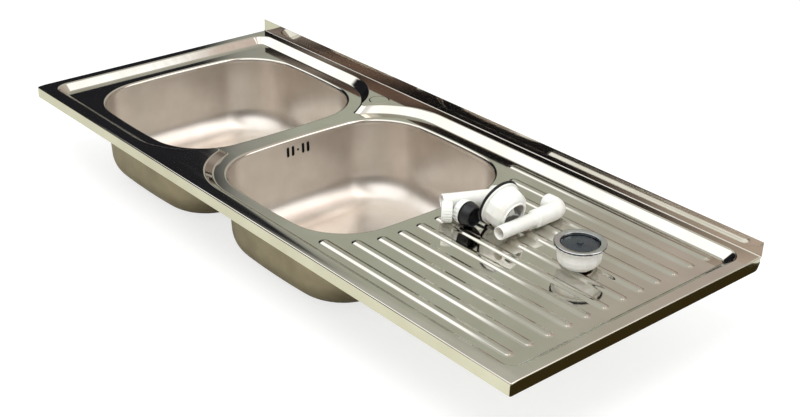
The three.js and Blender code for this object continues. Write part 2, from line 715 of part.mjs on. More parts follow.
function coneWasher() {
  const bore = DRAIN_PIPE_DIAMETER / 2 + CLEARANCE;
  const wide = socketRadius - 1.8 - CLEARANCE;
  return turnedRing([
    [bore, washerTop - WASHER_LENGTH],
    [bore + 0.7, washerTop - WASHER_LENGTH],
    [wide, washerTop - 2],
    [wide, washerTop],
    [bore, washerTop],
  ]);
}

// A plain tube that steps up to a wider sleeve and turns a right angle to a short tail.
function overflowPipe() {
  const [x, y] = [new THREE.Vector3(-1, 0, 0), new THREE.Vector3(0, 1, 0)];
  const sleeveStart = y.clone().multiplyScalar(OVERFLOW_PIPE_LENGTH);
  const bendStart = sleeveStart.clone().addScaledVector(y, OVERFLOW_SLEEVE_LENGTH);
  const bendCorner = bendStart.clone().addScaledVector(y, OVERFLOW_BEND_RADIUS);
  const bendEnd = bendCorner.clone().addScaledVector(x, OVERFLOW_BEND_RADIUS);
  const tailEnd = bendEnd.clone().addScaledVector(x, OVERFLOW_TAIL);
  const tube = (radius, extra) => {
    const path = new THREE.CurvePath();
    path.add(new THREE.LineCurve3(sleeveStart, bendStart));
    path.add(new THREE.QuadraticBezierCurve3(bendStart, bendCorner, bendEnd));
    path.add(new THREE.LineCurve3(bendEnd, tailEnd.clone().addScaledVector(x, extra)));
    const section = new THREE.Shape(
      Array.from({ length: 14 }, (_, i) => {
        const angle = (i / 14) * 2 * Math.PI;
        return new THREE.Vector2(radius * Math.cos(angle), radius * Math.sin(angle));
      }),
    );
    return solid(new THREE.ExtrudeGeometry(section, { steps: 12, extrudePath: path, bevelEnabled: false }));
  };
  const straight = (radius, low, high) => rod(radius, low, high, 14).rotate([-90, 0, 0]);
  const sleeve = OVERFLOW_SLEEVE_DIAMETER / 2;
  const plain = OVERFLOW_PIPE_DIAMETER / 2;
  const shoulder = OVERFLOW_PIPE_LENGTH + 3;
  const skin = tube(sleeve, 0).add(straight(plain, 0, shoulder));
  return skin
    .subtract(tube(sleeve - OVERFLOW_PIPE_WALL, 1).subtract(straight(sleeve, OVERFLOW_PIPE_LENGTH - 1, shoulder)))
    .subtract(straight(plain - OVERFLOW_PIPE_WALL, -1, shoulder + 1));
}

// The overflow head: a cup with a spigot that carries its gasket and ring nut.
const headBack = OVERFLOW_NUT_LENGTH + OVERFLOW_GASKET_THICKNESS + 2 * CLEARANCE;
const spigotRadius = OVERFLOW_SPIGOT_DIAMETER / 2;

function overflowNut() {
  const outer = OVERFLOW_NUT_DIAMETER / 2;
  const body = turned([[0, 0], [outer - 1, 0], [outer, 1], [outer, OVERFLOW_NUT_LENGTH], [0, OVERFLOW_NUT_LENGTH]], NUT_FLATS);
  const bore = spigotRadius + CLEARANCE;
  return body.subtract(
    turned([
      [0, -1],
      [outer - 3, -1],
      [outer - 3, OVERFLOW_NUT_LENGTH - 3],
      [bore, OVERFLOW_NUT_LENGTH - 3],
      [bore, OVERFLOW_NUT_LENGTH + 1],
      [0, OVERFLOW_NUT_LENGTH + 1],
    ]),
  );
}

function overflowGasket() {
  const low = OVERFLOW_NUT_LENGTH + CLEARANCE;
  const high = low + OVERFLOW_GASKET_THICKNESS;
  const [inner, outer] = [spigotRadius + CLEARANCE, OVERFLOW_HEAD_DIAMETER / 2 + 0.5];
  return turnedRing([[inner, low], [outer, low], [outer, high], [inner, high]]);
}

function overflowHead() {
  const outer = OVERFLOW_HEAD_DIAMETER / 2;
  const front = headBack + OVERFLOW_HEAD_LENGTH;
  const bore = spigotRadius - 2;
  return turnedRing([
    [bore, 1],
    [spigotRadius, 1],
    [spigotRadius, headBack],
    [outer, headBack],
    [outer, headBack + 4],
    [outer - 2, front - 3],
    [outer - 4, front],
    [outer - 6, front],
    [outer - 5, front - 4],
    [outer - 3, headBack + 5],
    [bore, headBack + 2.5],
  ]);
}

// ---- Materials --------------------------------------------------------------------------------------

const steel = (color, roughness) => new THREE.MeshStandardMaterial({ color, roughness, metalness: 1 });
const plain = (color, roughness) => new THREE.MeshStandardMaterial({ color, roughness, metalness: 0 });
const materials = {
  mirrorSteel: steel("#c4c2ba", 0.08),
  satinSteel: steel("#b9aea3", 0.35),
  whitePlastic: plain("#efeee6", 0.4),
  blackRubber: plain("#17171a", 0.6),
};

// ---- Assembly ---------------------------------------------------------------------------------------

function piece(name, shape, material) {
  const mesh = new THREE.Mesh(geometryOf(shape), material);
  mesh.name = name;
  return mesh;
}

function waste(name) {
  const group = new THREE.Group();
  group.add(
    piece(`${name}_strainer_cup`, strainerCup(), materials.satinSteel),
    piece(`${name}_gasket`, wasteGasket(), materials.blackRubber),
    piece(`${name}_body`, wasteBody(), materials.whitePlastic),
    piece(`${name}_screw`, wasteScrew(), materials.satinSteel),
    piece(`${name}_plug`, wastePlug(), materials.blackRubber),
  );
  return group;
}

const sink = new THREE.Group();
sink.position.set(-DECK_LENGTH / 2, -DECK_DEPTH / 2, deckTopZ);
sink.add(
  piece("sink_top", sinkTop(), materials.mirrorSteel),
  piece("left_bowl", bowl(leftMouth, leftBowlX), materials.satinSteel),
  piece("right_bowl", bowl(rightMouth, rightBowlX).subtract(overflowSlots()), materials.satinSteel),
);

const wasteA = waste("waste_a");
wasteA.position.set(WASTE_A_X, ribMiddle(WASTE_A_RIB) + RIB_PITCH / 2, restZ + WASTE_HEIGHT);
sink.add(wasteA);

// Lying along +X, its foot away from the flange: turned about Y by a right angle and its lean.
const wasteB = waste("waste_b");
wasteB.rotation.y = -Math.PI / 2 + wasteLean;
const flangeHeight = flangeRadius * Math.cos(wasteLean) + CUP_EDGE * Math.sin(wasteLean);
wasteB.position.set(WASTE_B_X, ribMiddle(WASTE_B_RIB) + RIB_PITCH / 2, restZ + flangeHeight - sag(flangeRadius));
sink.add(wasteB);

const drainTube = piece("drain_pipe", drainPipe(), materials.whitePlastic);
drainTube.rotation.set(-Math.PI / 2, 0, DRAIN_PIPE_TURN * degrees, "ZYX");
drainTube.position.set(DRAIN_PIPE_X, DRAIN_PIPE_Y, restZ + socketRadius);
sink.add(drainTube);

// The nut lies on its side, its mouth turned away to the back.
const slipNutSet = new THREE.Group();
slipNutSet.add(
  piece("slip_nut", slipNut(), materials.whitePlastic),
  piece("cone_washer", coneWasher(), materials.blackRubber),
);
slipNutSet.rotation.set(0, -Math.PI / 2, SLIP_NUT_TURN * degrees, "ZYX");
slipNutSet.position.set(
  SLIP_NUT_X + (SLIP_NUT_LENGTH / 2) * Math.cos(SLIP_NUT_TURN * degrees),
  ribMiddle(SLIP_NUT_RIB) - SLIP_NUT_SETBACK + (SLIP_NUT_LENGTH / 2) * Math.sin(SLIP_NUT_TURN * degrees),
  restZ + socketRadius,
);
sink.add(slipNutSet);

const overflowTube = piece("overflow_pipe", overflowPipe(), materials.whitePlastic);
overflowTube.position.set(OVERFLOW_PIPE_X, OVERFLOW_PIPE_Y, restZ + OVERFLOW_SLEEVE_DIAMETER / 2);
sink.add(overflowTube);

const overflowFitting = new THREE.Group();
overflowFitting.add(
  piece("overflow_nut", overflowNut(), materials.whitePlastic),
  piece("overflow_gasket", overflowGasket(), materials.blackRubber),
  piece("overflow_head", overflowHead(), materials.blackRubber),
);
overflowFitting.rotation.y = Math.PI / 2;
const fittingRadius = OVERFLOW_NUT_DIAMETER / 2;
const fittingY = ribMiddle(OVERFLOW_HEAD_RIB) + RIB_PITCH / 2;
overflowFitting.position.set(OVERFLOW_HEAD_X, fittingY, restZ + fittingRadius - sag(fittingRadius));
sink.add(overflowFitting);

const part = new THREE.Group();
part.add(sink);
part.updateMatrixWorld(true);

export default part;
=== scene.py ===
"""Lay-on kitchen sink with a double bowl and ribbed drainer, its strainer wastes and loose pipes laid on it.

Shapes are made in millimetres from the deck's front left corner, z = 0 on the deck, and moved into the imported
model's frame when each piece is finished.
"""

from functools import cache, partial
from math import atan2, cos, degrees, dist, hypot, pi, radians, sin, sqrt, tan

import bmesh
import bpy
from mathutils import Matrix, Vector


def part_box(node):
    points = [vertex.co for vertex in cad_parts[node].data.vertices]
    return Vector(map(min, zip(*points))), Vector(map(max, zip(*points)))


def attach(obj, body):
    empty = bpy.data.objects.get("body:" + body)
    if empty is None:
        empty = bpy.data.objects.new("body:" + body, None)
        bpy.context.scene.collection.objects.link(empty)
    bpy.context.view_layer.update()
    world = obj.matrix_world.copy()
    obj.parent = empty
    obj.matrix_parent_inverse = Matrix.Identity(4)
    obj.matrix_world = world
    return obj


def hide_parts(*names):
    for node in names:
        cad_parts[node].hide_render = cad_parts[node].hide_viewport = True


bl_info = {
    "name": "Double Bowl Kitchen Sink",
    "version": (1, 0, 0),
    "blender": (4, 5, 0),
    "location": "View3D > Sidebar > Sink",
    "description": "Pressed stainless steel sink with two bowls, a ribbed drainer and its loose waste kit",
    "category": "Object",
}

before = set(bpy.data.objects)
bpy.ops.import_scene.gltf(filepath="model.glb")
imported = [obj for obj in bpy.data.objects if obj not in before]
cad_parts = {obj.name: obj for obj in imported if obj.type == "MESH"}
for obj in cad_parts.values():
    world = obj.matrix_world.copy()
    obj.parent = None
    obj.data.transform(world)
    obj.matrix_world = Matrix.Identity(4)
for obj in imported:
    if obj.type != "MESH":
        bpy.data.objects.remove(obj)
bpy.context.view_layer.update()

# ---- Sizes in millimetres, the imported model's own unless a note says otherwise ----

SHEET = 0.8
GAP = 0.3  # between pieces that seat on each other
GUARD = 0.4  # here only: narrow flat beside a bend, which keeps the bend's shading off the sheet
DECK_LENGTH, DECK_DEPTH, DECK_CORNER = 1200, 500, 3
FOLD = 2
SKIRT, SKIRT_HEM, SKIRT_END = 20, 8, 10
UPSTAND = 23
UPSTAND_FOLD = 1.2  # tighter here
BACK = DECK_DEPTH - SHEET - FOLD  # where the upstand's fold begins
RIM_FRONT, RIM_SIDE, RIM_BACK = 21, 19, 17
RIM_FALL = 1.4  # here only: how far the front rim dips at its fold
FALL_CUTS = (4, 6, 8, 10, 12, 14, 17)  # distances from the front where the dipping rim is divided
FIELD_DEPTH, FIELD_CORNER, WALL_RUN = 12, 12, 15
TONGUE_TIP = 8
TAP_MARK, TAP_SETBACK = 36, 55
BOWL_X = (234, 614)
BOWL_WIDTH, BOWL_LENGTH, BOWL_DEPTH = 350, 395, 155
BOWL_CORNER, BOWL_FLOOR, BOWL_FLANGE = 104, 50, 9
BOWL_CROWN, BOWL_DRAFT = 3.3, 3.5  # degrees
LIP, COLLAR = 5, 4
DISH, DISH_FALL = 52, 0.9  # here only: where the floor's slope ends, and how far it has fallen
SEAT, SEAT_SLOPE, SEAT_DEPTH = 40, 2, 2.5
FLOOR_FALL, WASTE_HOLE = 1, 30
SLOT_HEIGHT, SLOT_PITCH, SLOT_DROP = 18, 10.5, 35
SLOT, SCREW_HOLE = 5.6, 4.6  # wider here
SLOT_SHADE, SLOT_SHADE_SETBACK = (2.5, 58, 28), 1.5  # here only: a dark rubber sheet behind the slots, painted shade
RIB_COUNT, RIB_PITCH, RIB_WIDTH, RIB_HEIGHT = 12, 36, 17, 2.5
RIB_FRONT_MARGIN, RIB_END_MARGIN, RIB_BAND = 12, 19, 20
RIB_FLARE = 0.6  # here only: how far a rib's foot runs out past its outline
FLANGE, CUP, CUP_DEPTH, CUP_EDGE = 38, 28, 14.5, 1.6
WASTE_HEIGHT, OUTLET, BODY_WALL, BODY_FLATS = 38, 21.5, 2.4, 12
SCREW_HEAD, SCREW_LENGTH = 2.5, 15
PIPE, PIPE_WALL, PIPE_LENGTH = 12.5, 2, 105
SOCKET_WALL, SOCKET_LENGTH, NUT_LENGTH = 2.6, 24, 16
TUBE, SLEEVE, TUBE_WALL = 10.5, 14, 1.8
NUT_GRIP, NUT_BORE, HEAD_REST = 18.1, 9.3, 19  # radii of the overflow's ring nut, and of what it rests on

# ---- Where the loose pieces lie: x, and y or the number of a rib ----

WASTE_A_X, WASTE_B_X, WASTE_RIB = 1043, 879, 6
PIPE_X, PIPE_Y, PIPE_TURN = 804, 249, -25
NUT_X, NUT_RIB, NUT_SETBACK, NUT_TURN = 831, 5, 2, 48
TUBE_X, TUBE_Y = 925, 250
HEAD_X, HEAD_RIB = 840.5, 5

# ---- Heights, radii and the frame's place that follow from these ----

FIELD_Z = -FIELD_DEPTH
REST_Z = FIELD_Z + RIB_HEIGHT + GAP
DECK_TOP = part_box("sink_top")[1][2] * 1000 - UPSTAND
DECK = Matrix.Scale(0.001, 4) @ Matrix.Translation((-DECK_LENGTH / 2, -DECK_DEPTH / 2, DECK_TOP))

BODY = CUP + SHEET + GAP + 1 + BODY_WALL
GASKET_TOP = -CUP_EDGE - GAP
GASKET_FOOT = GASKET_TOP - 1.7
BODY_TOP = GASKET_FOOT - GAP
SCREW_SEAT = -CUP_DEPTH + GAP
BOSS_TOP = -CUP_DEPTH - SHEET - GAP
SOCKET = PIPE + GAP + SOCKET_WALL + 1.5
NEAR, MERGE = 1e-3, 1e-4  # points closer than these are one


# ---- Nodes and finishes ----


def linear(code):
    """An sRGB hex colour as linear RGBA."""
    values = [int(code[i : i + 2], 16) / 255 for i in (1, 3, 5)]
    return (*(v / 12.92 if v <= 0.04045 else ((v + 0.055) / 1.055) ** 2.4 for v in values), 1.0)


def node(tree, kind, settings=None, **inputs):
    """Adds a node, sets its properties, and sets or links its inputs by name or, as i0, i1, by number."""
    made = tree.nodes.new(kind)
    for key, value in (settings or {}).items():
        setattr(made, key, value)
    for key, value in inputs.items():
        by_number = key[0] == "i" and key[1:].isdigit()
        socket = made.inputs[int(key[1:]) if by_number else key.replace("_", " ")]
        if isinstance(value, bpy.types.NodeSocket):
            tree.links.new(value, socket)
        else:
            socket.default_value = value
    return made


# Each finish: its slot, metallic and subsurface weight, two colours and the noise between them, two
# roughnesses and theirs, and reliefs. A noise is its size in millimetres, its detail and, where it is drawn
# out, a stretch for each axis. A relief is its height in millimetres and such a noise.
FINISHES = {
    # 18/10 stainless, pressed and buffed to a mirror: sharp reflections with faint wipe marks, and wavy from
    # the oil canning of a thin sheet, in waves some 130 mm long and a tenth of a millimetre high
    "mirror_polished_stainless": (
        "mirror_steel", 1, 0, ("#dddbd4", "#d2cfc6"), (70, 4),
        (0.045, 0.09), (9, 3, (0.12, 1, 1)), (0.12, 130, 1), (0.002, 11, 2),
    ),
    # 18/10 stainless, deep drawn and satin ground: warm grey, broad soft reflections, a fine upright grain
    # that is 0.05 mm wide, drawn at 0.5 mm so that it shows
    "satin_ground_stainless": (
        "satin_steel", 1, 0, ("#e6e1da", "#dcd5cd"), (45, 4),
        (0.29, 0.38), (0.5, 2, (1, 1, 0.06)), (0.004, 0.5, 2, (1, 1, 0.06)),
    ),
    # The bowls' outside, left as it was drawn and never ground: duller, and darker in colour as painted shade,
    # standing in for the shaded floor under the deck that it mirrors
    "drawn_stainless_painted_shade": (
        "satin_steel", 1, 0, ("#a69c8c", "#94897b"), (45, 4),
        (0.38, 0.5), (0.5, 2, (1, 1, 0.06)), (0.004, 0.5, 2, (1, 1, 0.06)),
    ),
    # Stainless, spun and turned smooth: cooler and softer than the deck, with a faint unevenness
    "spun_stainless": (
        "flange_steel", 1, 0, ("#cdd0d2", "#bfc3c6"), (14, 3), (0.12, 0.22), (2.2, 3), (0.01, 6, 2),
    ),
    # Injection moulded polypropylene, ivory white: soft gloss, a little light passing through, flow marks
    "moulded_polypropylene_white": (
        "white_plastic", 0, 0.08, ("#f1f2ee", "#eae8df"), (16, 3, (1, 1, 0.4)),
        (0.32, 0.46), (3, 2), (0.012, 1.1, 2),
    ),
    # Injection moulded ABS, black, satin
    "moulded_abs_black": (
        "black_plastic", 0, 0, ("#16171b", "#1f2024"), (12, 3), (0.28, 0.42), (2, 2), (0.012, 0.9, 2),
    ),
    # Moulded EPDM rubber: matt, dusty in patches
    "moulded_epdm_rubber": (
        "black_rubber", 0, 0, ("#161617", "#222223"), (9, 4), (0.6, 0.82), (1.5, 3), (0.02, 0.7, 3),
    ),
    # Moulded nitrile rubber: blue-black, polished by its mould
    "moulded_nitrile_rubber": (
        "black_rubber", 0, 0, ("#242c33", "#2d353b"), (9, 4), (0.2, 0.34), (1.5, 3), (0.01, 0.7, 3),
    ),
}
NOISE_LOW, NOISE_HIGH = 0.3, 0.7  # between which nearly all of a noise's values lie
GLOW_DEPTH = 0.004  # metres that light passes into the white plastic


@cache
def finish(name):
    """The material of this name, made from its row above when a piece first asks for it."""
    _, metallic, subsurface, colours, wear, roughness, grain, *reliefs = FINISHES[name]
    made = bpy.data.materials.new(name)
    made.use_nodes = True
    tree = made.node_tree
    add = partial(node, tree)
    shader = tree.nodes["Principled BSDF"]
    shader.inputs["Metallic"].default_value = metallic
    if subsurface:
        shader.inputs["Subsurface Weight"].default_value = subsurface
        shader.inputs["Subsurface Scale"].default_value = GLOW_DEPTH
    place = add("ShaderNodeTexCoord").outputs["Object"]
    place = add("ShaderNodeVectorMath", {"operation": "SCALE"}, i0=place, Scale=1000.0).outputs[0]
    noises = []
    for size, detail, *stretch in (wear, grain, *(relief[1:] for relief in reliefs)):
        spot = place
        for each in stretch:
            spot = add("ShaderNodeVectorMath", {"operation": "MULTIPLY"}, i0=place, i1=each).outputs[0]
        noises.append(add("ShaderNodeTexNoise", Vector=spot, Scale=1 / size, Detail=detail).outputs[0])
    usual = {"From_Min": NOISE_LOW, "From_Max": NOISE_HIGH}
    first, second = (
        add("ShaderNodeMapRange", Value=value, To_Min=low, To_Max=high, **usual).outputs[0]
        for value, (low, high) in zip(noises, ((0, 1), roughness))
    )
    light, dark = map(linear, colours)
    colour = add("ShaderNodeMix", {"data_type": "RGBA"}, Factor=first, i6=light, i7=dark)
    tree.links.new(colour.outputs[2], shader.inputs["Base Color"])
    tree.links.new(second, shader.inputs["Roughness"])
    under = {}
    for height, (depth, *_) in zip(noises[2:], reliefs):
        normal = add("ShaderNodeBump", Height=height, Distance=depth / 1000, **under).outputs[0]
        under = {"Normal": normal}
    tree.links.new(normal, shader.inputs["Normal"])
    return made


# ---- Outlines: arcs of (x, y, radius, start, end, steps) joined by straight lines, anticlockwise ----


def quarter_turn(steps):
    """The angles from 0 to 90 degrees, in radians."""
    return [radians(90 / steps * i) for i in range(steps + 1)]


def full_turn(count):
    """The angles of points set evenly round a circle, in radians."""
    return [2 * pi * i / count for i in range(count)]


def ease(t):
    """0 to 1 with a soft start and end."""
    return t * t * (3 - 2 * t)


def trace(arcs, grow=0.0):
    """The outline's points, moved out by grow, square to itself."""
    points = []
    for x, y, radius, start, end, steps in arcs:
        reach = radius + (grow if end > start else -grow)
        for i in range(steps + 1):
            angle = radians(start + (end - start) * i / steps)
            point = (x + reach * cos(angle), y + reach * sin(angle))
            if not points or dist(point, points[-1]) > NEAR:
                points.append(point)
    if dist(points[0], points[-1]) < NEAR:
        points.pop()
    return points


def rounded(corners, radius, steps):
    """A convex polygon, anticlockwise, with rounded corners."""
    arcs = []
    for i, (x, y) in enumerate(corners):
        px, py = corners[i - 1]
        nx, ny = corners[(i + 1) % len(corners)]
        start = degrees(atan2(y - py, x - px)) - 90
        end = degrees(atan2(ny - y, nx - x)) - 90
        while end < start:
            end += 360
        middle = radians((start + end) / 2)
        reach = radius / cos(radians((end - start) / 2))
        arcs.append((x - reach * cos(middle), y - reach * sin(middle), radius, start, end, steps))
    return arcs


def rectangle(x0, x1, y0, y1, radius, steps):
    """A rectangle with rounded corners, from its front left one."""
    return rounded([(x0, y0), (x1, y0), (x1, y1), (x0, y1)], radius, steps)


def bowed(x, width, length, corner, side_steps=10, corner_steps=24):
    """Four round corners and four slightly bowed sides about the deck's middle line; a circle when all are
    alike. Also gives how far the corners' middles are from its own, and their radius."""
    radius = min(corner, width / 2, length / 2)
    s, c = sin(radians(BOWL_CROWN)), cos(radians(BOWL_CROWN))
    u = length / 2 - radius * c + radius * s
    v = width / 2 - radius * c + radius * s
    scale = s * s - (1 - c) ** 2
    side, end = (s * u - (1 - c) * v) / scale, (s * v - (1 - c) * u) / scale
    corner_x, corner_y = (end - radius) * s, (side - radius) * s
    y = DECK_DEPTH / 2
    arcs = []
    for quarter in range(4):
        turn = quarter * 90
        bow, reach = (side, width / 2 - side) if quarter % 2 == 0 else (end, length / 2 - end)
        dx, dy = round(cos(radians(turn))), round(sin(radians(turn)))
        arcs.append((x + dx * reach, y + dy * reach, bow, turn - BOWL_CROWN, turn + BOWL_CROWN, side_steps))
        sx, sy = (1 if quarter in (0, 3) else -1), (1 if quarter < 2 else -1)
        start, stop = turn + BOWL_CROWN, turn + 90 - BOWL_CROWN
        arcs.append((x + sx * corner_x, y + sy * corner_y, radius, start, stop, corner_steps))
    return arcs, corner_x, corner_y, radius


def mouth(x):
    """A bowl's mouth, about its middle."""
    return bowed(x, BOWL_WIDTH, BOWL_LENGTH, BOWL_CORNER)


def circle(x, radius):
    """The points of a circle that pair with a mouth's."""
    return trace(bowed(x, 2 * radius, 2 * radius, radius)[0])


def tongue(edge, shift, back):
    """A tongue of rim between the bowls: two arcs about the bowls' corners and a small round tip."""
    sign = 1 if back else -1
    _, corner_x, corner_y, _ = mouth(BOWL_X[0])
    corner_y = DECK_DEPTH / 2 + sign * corner_y
    reach = abs(edge - corner_y)
    middle = sum(BOWL_X) / 2
    half = middle - BOWL_X[0] - corner_x
    tip = max(TONGUE_TIP, half - reach + 1)
    rise = sqrt((reach + tip) ** 2 - half**2)
    lean = degrees(atan2(rise, half))
    y = corner_y + sign * shift
    tip_y = y + sign * rise
    turn, aside = (-180, half) if back else (0, -half)
    return [
        (middle + aside, y, reach, 270 + turn, 360 + turn - lean, 20),
        (middle, tip_y, tip, 180 + turn - lean, turn + lean, 16),
        (middle - aside, y, reach, 180 + turn + lean, 270 + turn, 20),
    ]


def field_outline(grow):
    """The recessed field's edge: grow is 0 at its floor and WALL_RUN at the rim."""
    left = RIM_SIDE + WALL_RUN - grow
    front = RIM_FRONT + WALL_RUN - grow
    back = DECK_DEPTH - RIM_BACK - WALL_RUN + grow
    corners = rectangle(left, DECK_LENGTH - left, front, back, FIELD_CORNER + grow, 16)
    front_side = [corners[0], *tongue(front + grow, grow, False), corners[1]]
    back_side = [corners[2], *tongue(back - grow, grow, True), corners[3]]
    return trace(front_side + back_side)


def rib_start(y):
    """Where a rib starts at this distance from the front: a band's width off the right bowl's edge."""
    _, corner_x, corner_y, radius = mouth(BOWL_X[1])
    reach = radius + RIB_BAND
    aside = max(0, abs(y - DECK_DEPTH / 2) - corner_y)
    return BOWL_X[1] + corner_x + sqrt(max(0, reach**2 - aside**2))


def rib_front(index):
    """The front edge of a rib, the first of which is number 0."""
    return RIM_FRONT + WALL_RUN + RIB_FRONT_MARGIN + index * RIB_PITCH


def rib_middle(index):
    """The middle line of a rib."""
    return rib_front(index) + RIB_WIDTH / 2


def rib_outline(index, corner):
    """A rib's foot, its left end along the bowl's curve."""
    front, back = rib_front(index), rib_front(index) + RIB_WIDTH
    end = DECK_LENGTH - RIM_SIDE - WALL_RUN - RIB_END_MARGIN
    return rounded([(rib_start(front), front), (end, front), (end, back), (rib_start(back), back)], corner, 8)


# ---- Profiles and skins ----


def soften(points, radius, closed=False, steps=4):
    """The profile with its corners rounded, each by radius or by what its edges allow."""
    out = []
    count = len(points)
    for i, point in enumerate(points):
        here = Vector(point)
        if not closed and i in (0, count - 1):
            out.append(tuple(here))
            continue
        before, after = Vector(points[i - 1]) - here, Vector(points[(i + 1) % count]) - here
        size = min(radius, 0.45 * before.length, 0.45 * after.length)
        a, b = here + before.normalized() * size, here + after.normalized() * size
        for t in (j / steps for j in range(steps + 1)):
            out.append(tuple(a * (1 - t) ** 2 + here * 2 * t * (1 - t) + b * t**2))
    return out


class Skin:
    """A sheet built up from loops of points."""

    def __init__(self):
        self.bm = bmesh.new()

    def loop(self, points, z):
        """The points as vertices at one height."""
        return [self.bm.verts.new((x, y, z)) for x, y in points]

    def strips(self, loops, closed=True, slots=()):
        """Faces from each loop to the next, with a material slot for each strip where these are given."""
        for n, (first, second) in enumerate(zip(loops, loops[1:])):
            for i in range(len(first) if closed else len(first) - 1):
                j = (i + 1) % len(first)
                face = self.bm.faces.new((first[i], first[j], second[j], second[i]))
                face.material_index = slots[n] if slots else 0

    def sweep(self, outline, profile, slots=()):
        """Strips through the outline moved by each grow and height of the profile. Gives its end loops."""
        loops = [self.loop(outline(grow), z) for grow, z in profile]
        self.strips(loops, slots=slots)
        return loops[0], loops[-1]

    def fill(self, *loops):
        """A flat face inside the first loop and outside the others."""
        edges = []
        for loop in loops:
            for i, vert in enumerate(loop):
                other = loop[(i + 1) % len(loop)]
                edges.append(self.bm.edges.get((vert, other)) or self.bm.edges.new((vert, other)))
        bmesh.ops.triangle_fill(self.bm, edges=edges, use_beauty=True, use_dissolve=False, normal=(0, 0, 1))

    def upward(self):
        """Merges its doubles and points every face the same way, with more of the sheet facing up."""
        bmesh.ops.remove_doubles(self.bm, verts=self.bm.verts[:], dist=MERGE)
        bmesh.ops.recalc_face_normals(self.bm, faces=self.bm.faces[:])
        if sum(face.normal.z * face.calc_area() for face in self.bm.faces) < 0:
            bmesh.ops.reverse_faces(self.bm, faces=self.bm.faces[:])


def turned(profile, softness, segments, closed=True):
    """A profile of (radius, height) with softened corners, turned about Z. An open one ends on the axis."""
    bm = bmesh.new()
    rings = []
    for radius, height in soften(profile, softness, closed):
        around = full_turn(segments if radius >= MERGE else 1)
        rings.append([bm.verts.new((radius * cos(a), radius * sin(a), height)) for a in around])
    for low, high in zip(rings, rings[1:] + rings[:1] if closed else rings[1:]):
        for i in range(segments):
            j = (i + 1) % segments
            corners = (low[i % len(low)], low[j % len(low)], high[j % len(high)], high[i % len(high)])
            corners = dict.fromkeys(corners)
            if len(corners) > 2:
                bm.faces.new(list(corners))
    bmesh.ops.remove_doubles(bm, verts=bm.verts[:], dist=MERGE)
    bmesh.ops.recalc_face_normals(bm, faces=bm.faces[:])
    return bm


def linked(name, data):
    """A new object in the scene."""
    made = bpy.data.objects.new(name, data)
    bpy.context.scene.collection.objects.link(made)
    return made


def object_from(bm, name, *finishes):
    """A new object with this mesh and these finishes."""
    mesh = bpy.data.meshes.new(name)
    bm.to_mesh(mesh)
    bm.free()
    for each in finishes:
        mesh.materials.append(finish(each))
    return linked(name, mesh)


def freeze(obj):
    """Applies an object's modifiers, leaving a plain mesh."""
    mesh = bpy.data.meshes.new_from_object(obj.evaluated_get(bpy.context.evaluated_depsgraph_get()))
    old = obj.data
    obj.modifiers.clear()
    obj.data = mesh
    mesh.name = old.name
    bpy.data.meshes.remove(old)


def solidify(obj, under=0):
    """Gives an open sheet its thickness, on the side away from its faces, with the material under there."""
    made = obj.modifiers.new("Sheet", "SOLIDIFY")
    made.thickness = SHEET
    made.offset = -1
    made.use_even_offset = True
    made.material_offset = under
    freeze(obj)


def finish_piece(obj, body, *replaced, place=Matrix(), crease=40):
    """Moves a piece into the frame, shades it, hands it to its body and hides the nodes that it replaces."""
    obj.data.transform(DECK @ place)
    obj.data.shade_smooth()
    obj.data.set_sharp_from_angle(angle=radians(crease))
    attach(obj, body)
    if replaced:
        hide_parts(*replaced)


# ---- Deck ----


def wall_profile(radius):
    """The recess wall from the rim down to the field, rounded by radius at both ends."""
    slope = atan2(FIELD_DEPTH, WALL_RUN)
    reach = radius * tan(slope / 2)
    turn = [slope * i / 8 for i in range(9)]
    points = [(WALL_RUN + reach + GUARD, 0.0)]
    points += [(WALL_RUN + reach - radius * sin(a), -radius * (1 - cos(a))) for a in turn]
    points += [(-reach + radius * sin(a), FIELD_Z + radius * (1 - cos(a))) for a in reversed(turn)]
    return points + [(-reach - GUARD, FIELD_Z)]


def skirt_path(inset):
    """Left side, front and right side of the deck as an open path, moved in by inset."""
    points = trace(rectangle(inset, DECK_LENGTH - inset, inset, BACK + 50, max(0.6, DECK_CORNER - inset), 6))
    ends = [BACK, BACK - 4, BACK - 7, BACK - SKIRT_END, BACK - 40]
    return (
        [(inset, y) for y in ends]
        + [point for point in points if point[1] < BACK / 2]
        + [(DECK_LENGTH - inset, y) for y in reversed(ends)]
    )


def fold_skirts(skin):
    """Skirts folded down on three sides, rounded off at the back. Gives the loop where they begin."""
    fold = [(FOLD + GUARD, 0.0)]
    fold += [(FOLD * (1 - sin(a)), -FOLD * (1 - cos(a))) for a in quarter_turn(10)]
    loops = [skin.loop(skirt_path(inset), z) for inset, z in fold]
    foot = []
    for x, y in skirt_path(0):
        over = max(0.0, y - (BACK - SKIRT_END))
        z = -SKIRT + SKIRT_END - sqrt(max(0.0, SKIRT_END**2 - over**2)) if over else -SKIRT
        foot.append(skin.bm.verts.new((x, y, z)))
    skin.strips(loops + [foot], closed=False)
    # the hem turned in along the foot, as far as that is straight
    keep = [i for i, (_, y) in enumerate(skirt_path(0)) if y <= BACK - SKIRT_END + 0.01]
    hem = [[foot[i] for i in keep]]
    for inset in (1.5, SKIRT_HEM):
        path = skirt_path(inset)
        hem.append(skin.loop([path[i] for i in keep], -SKIRT))
    skin.strips(hem, closed=False)
    return loops[0]


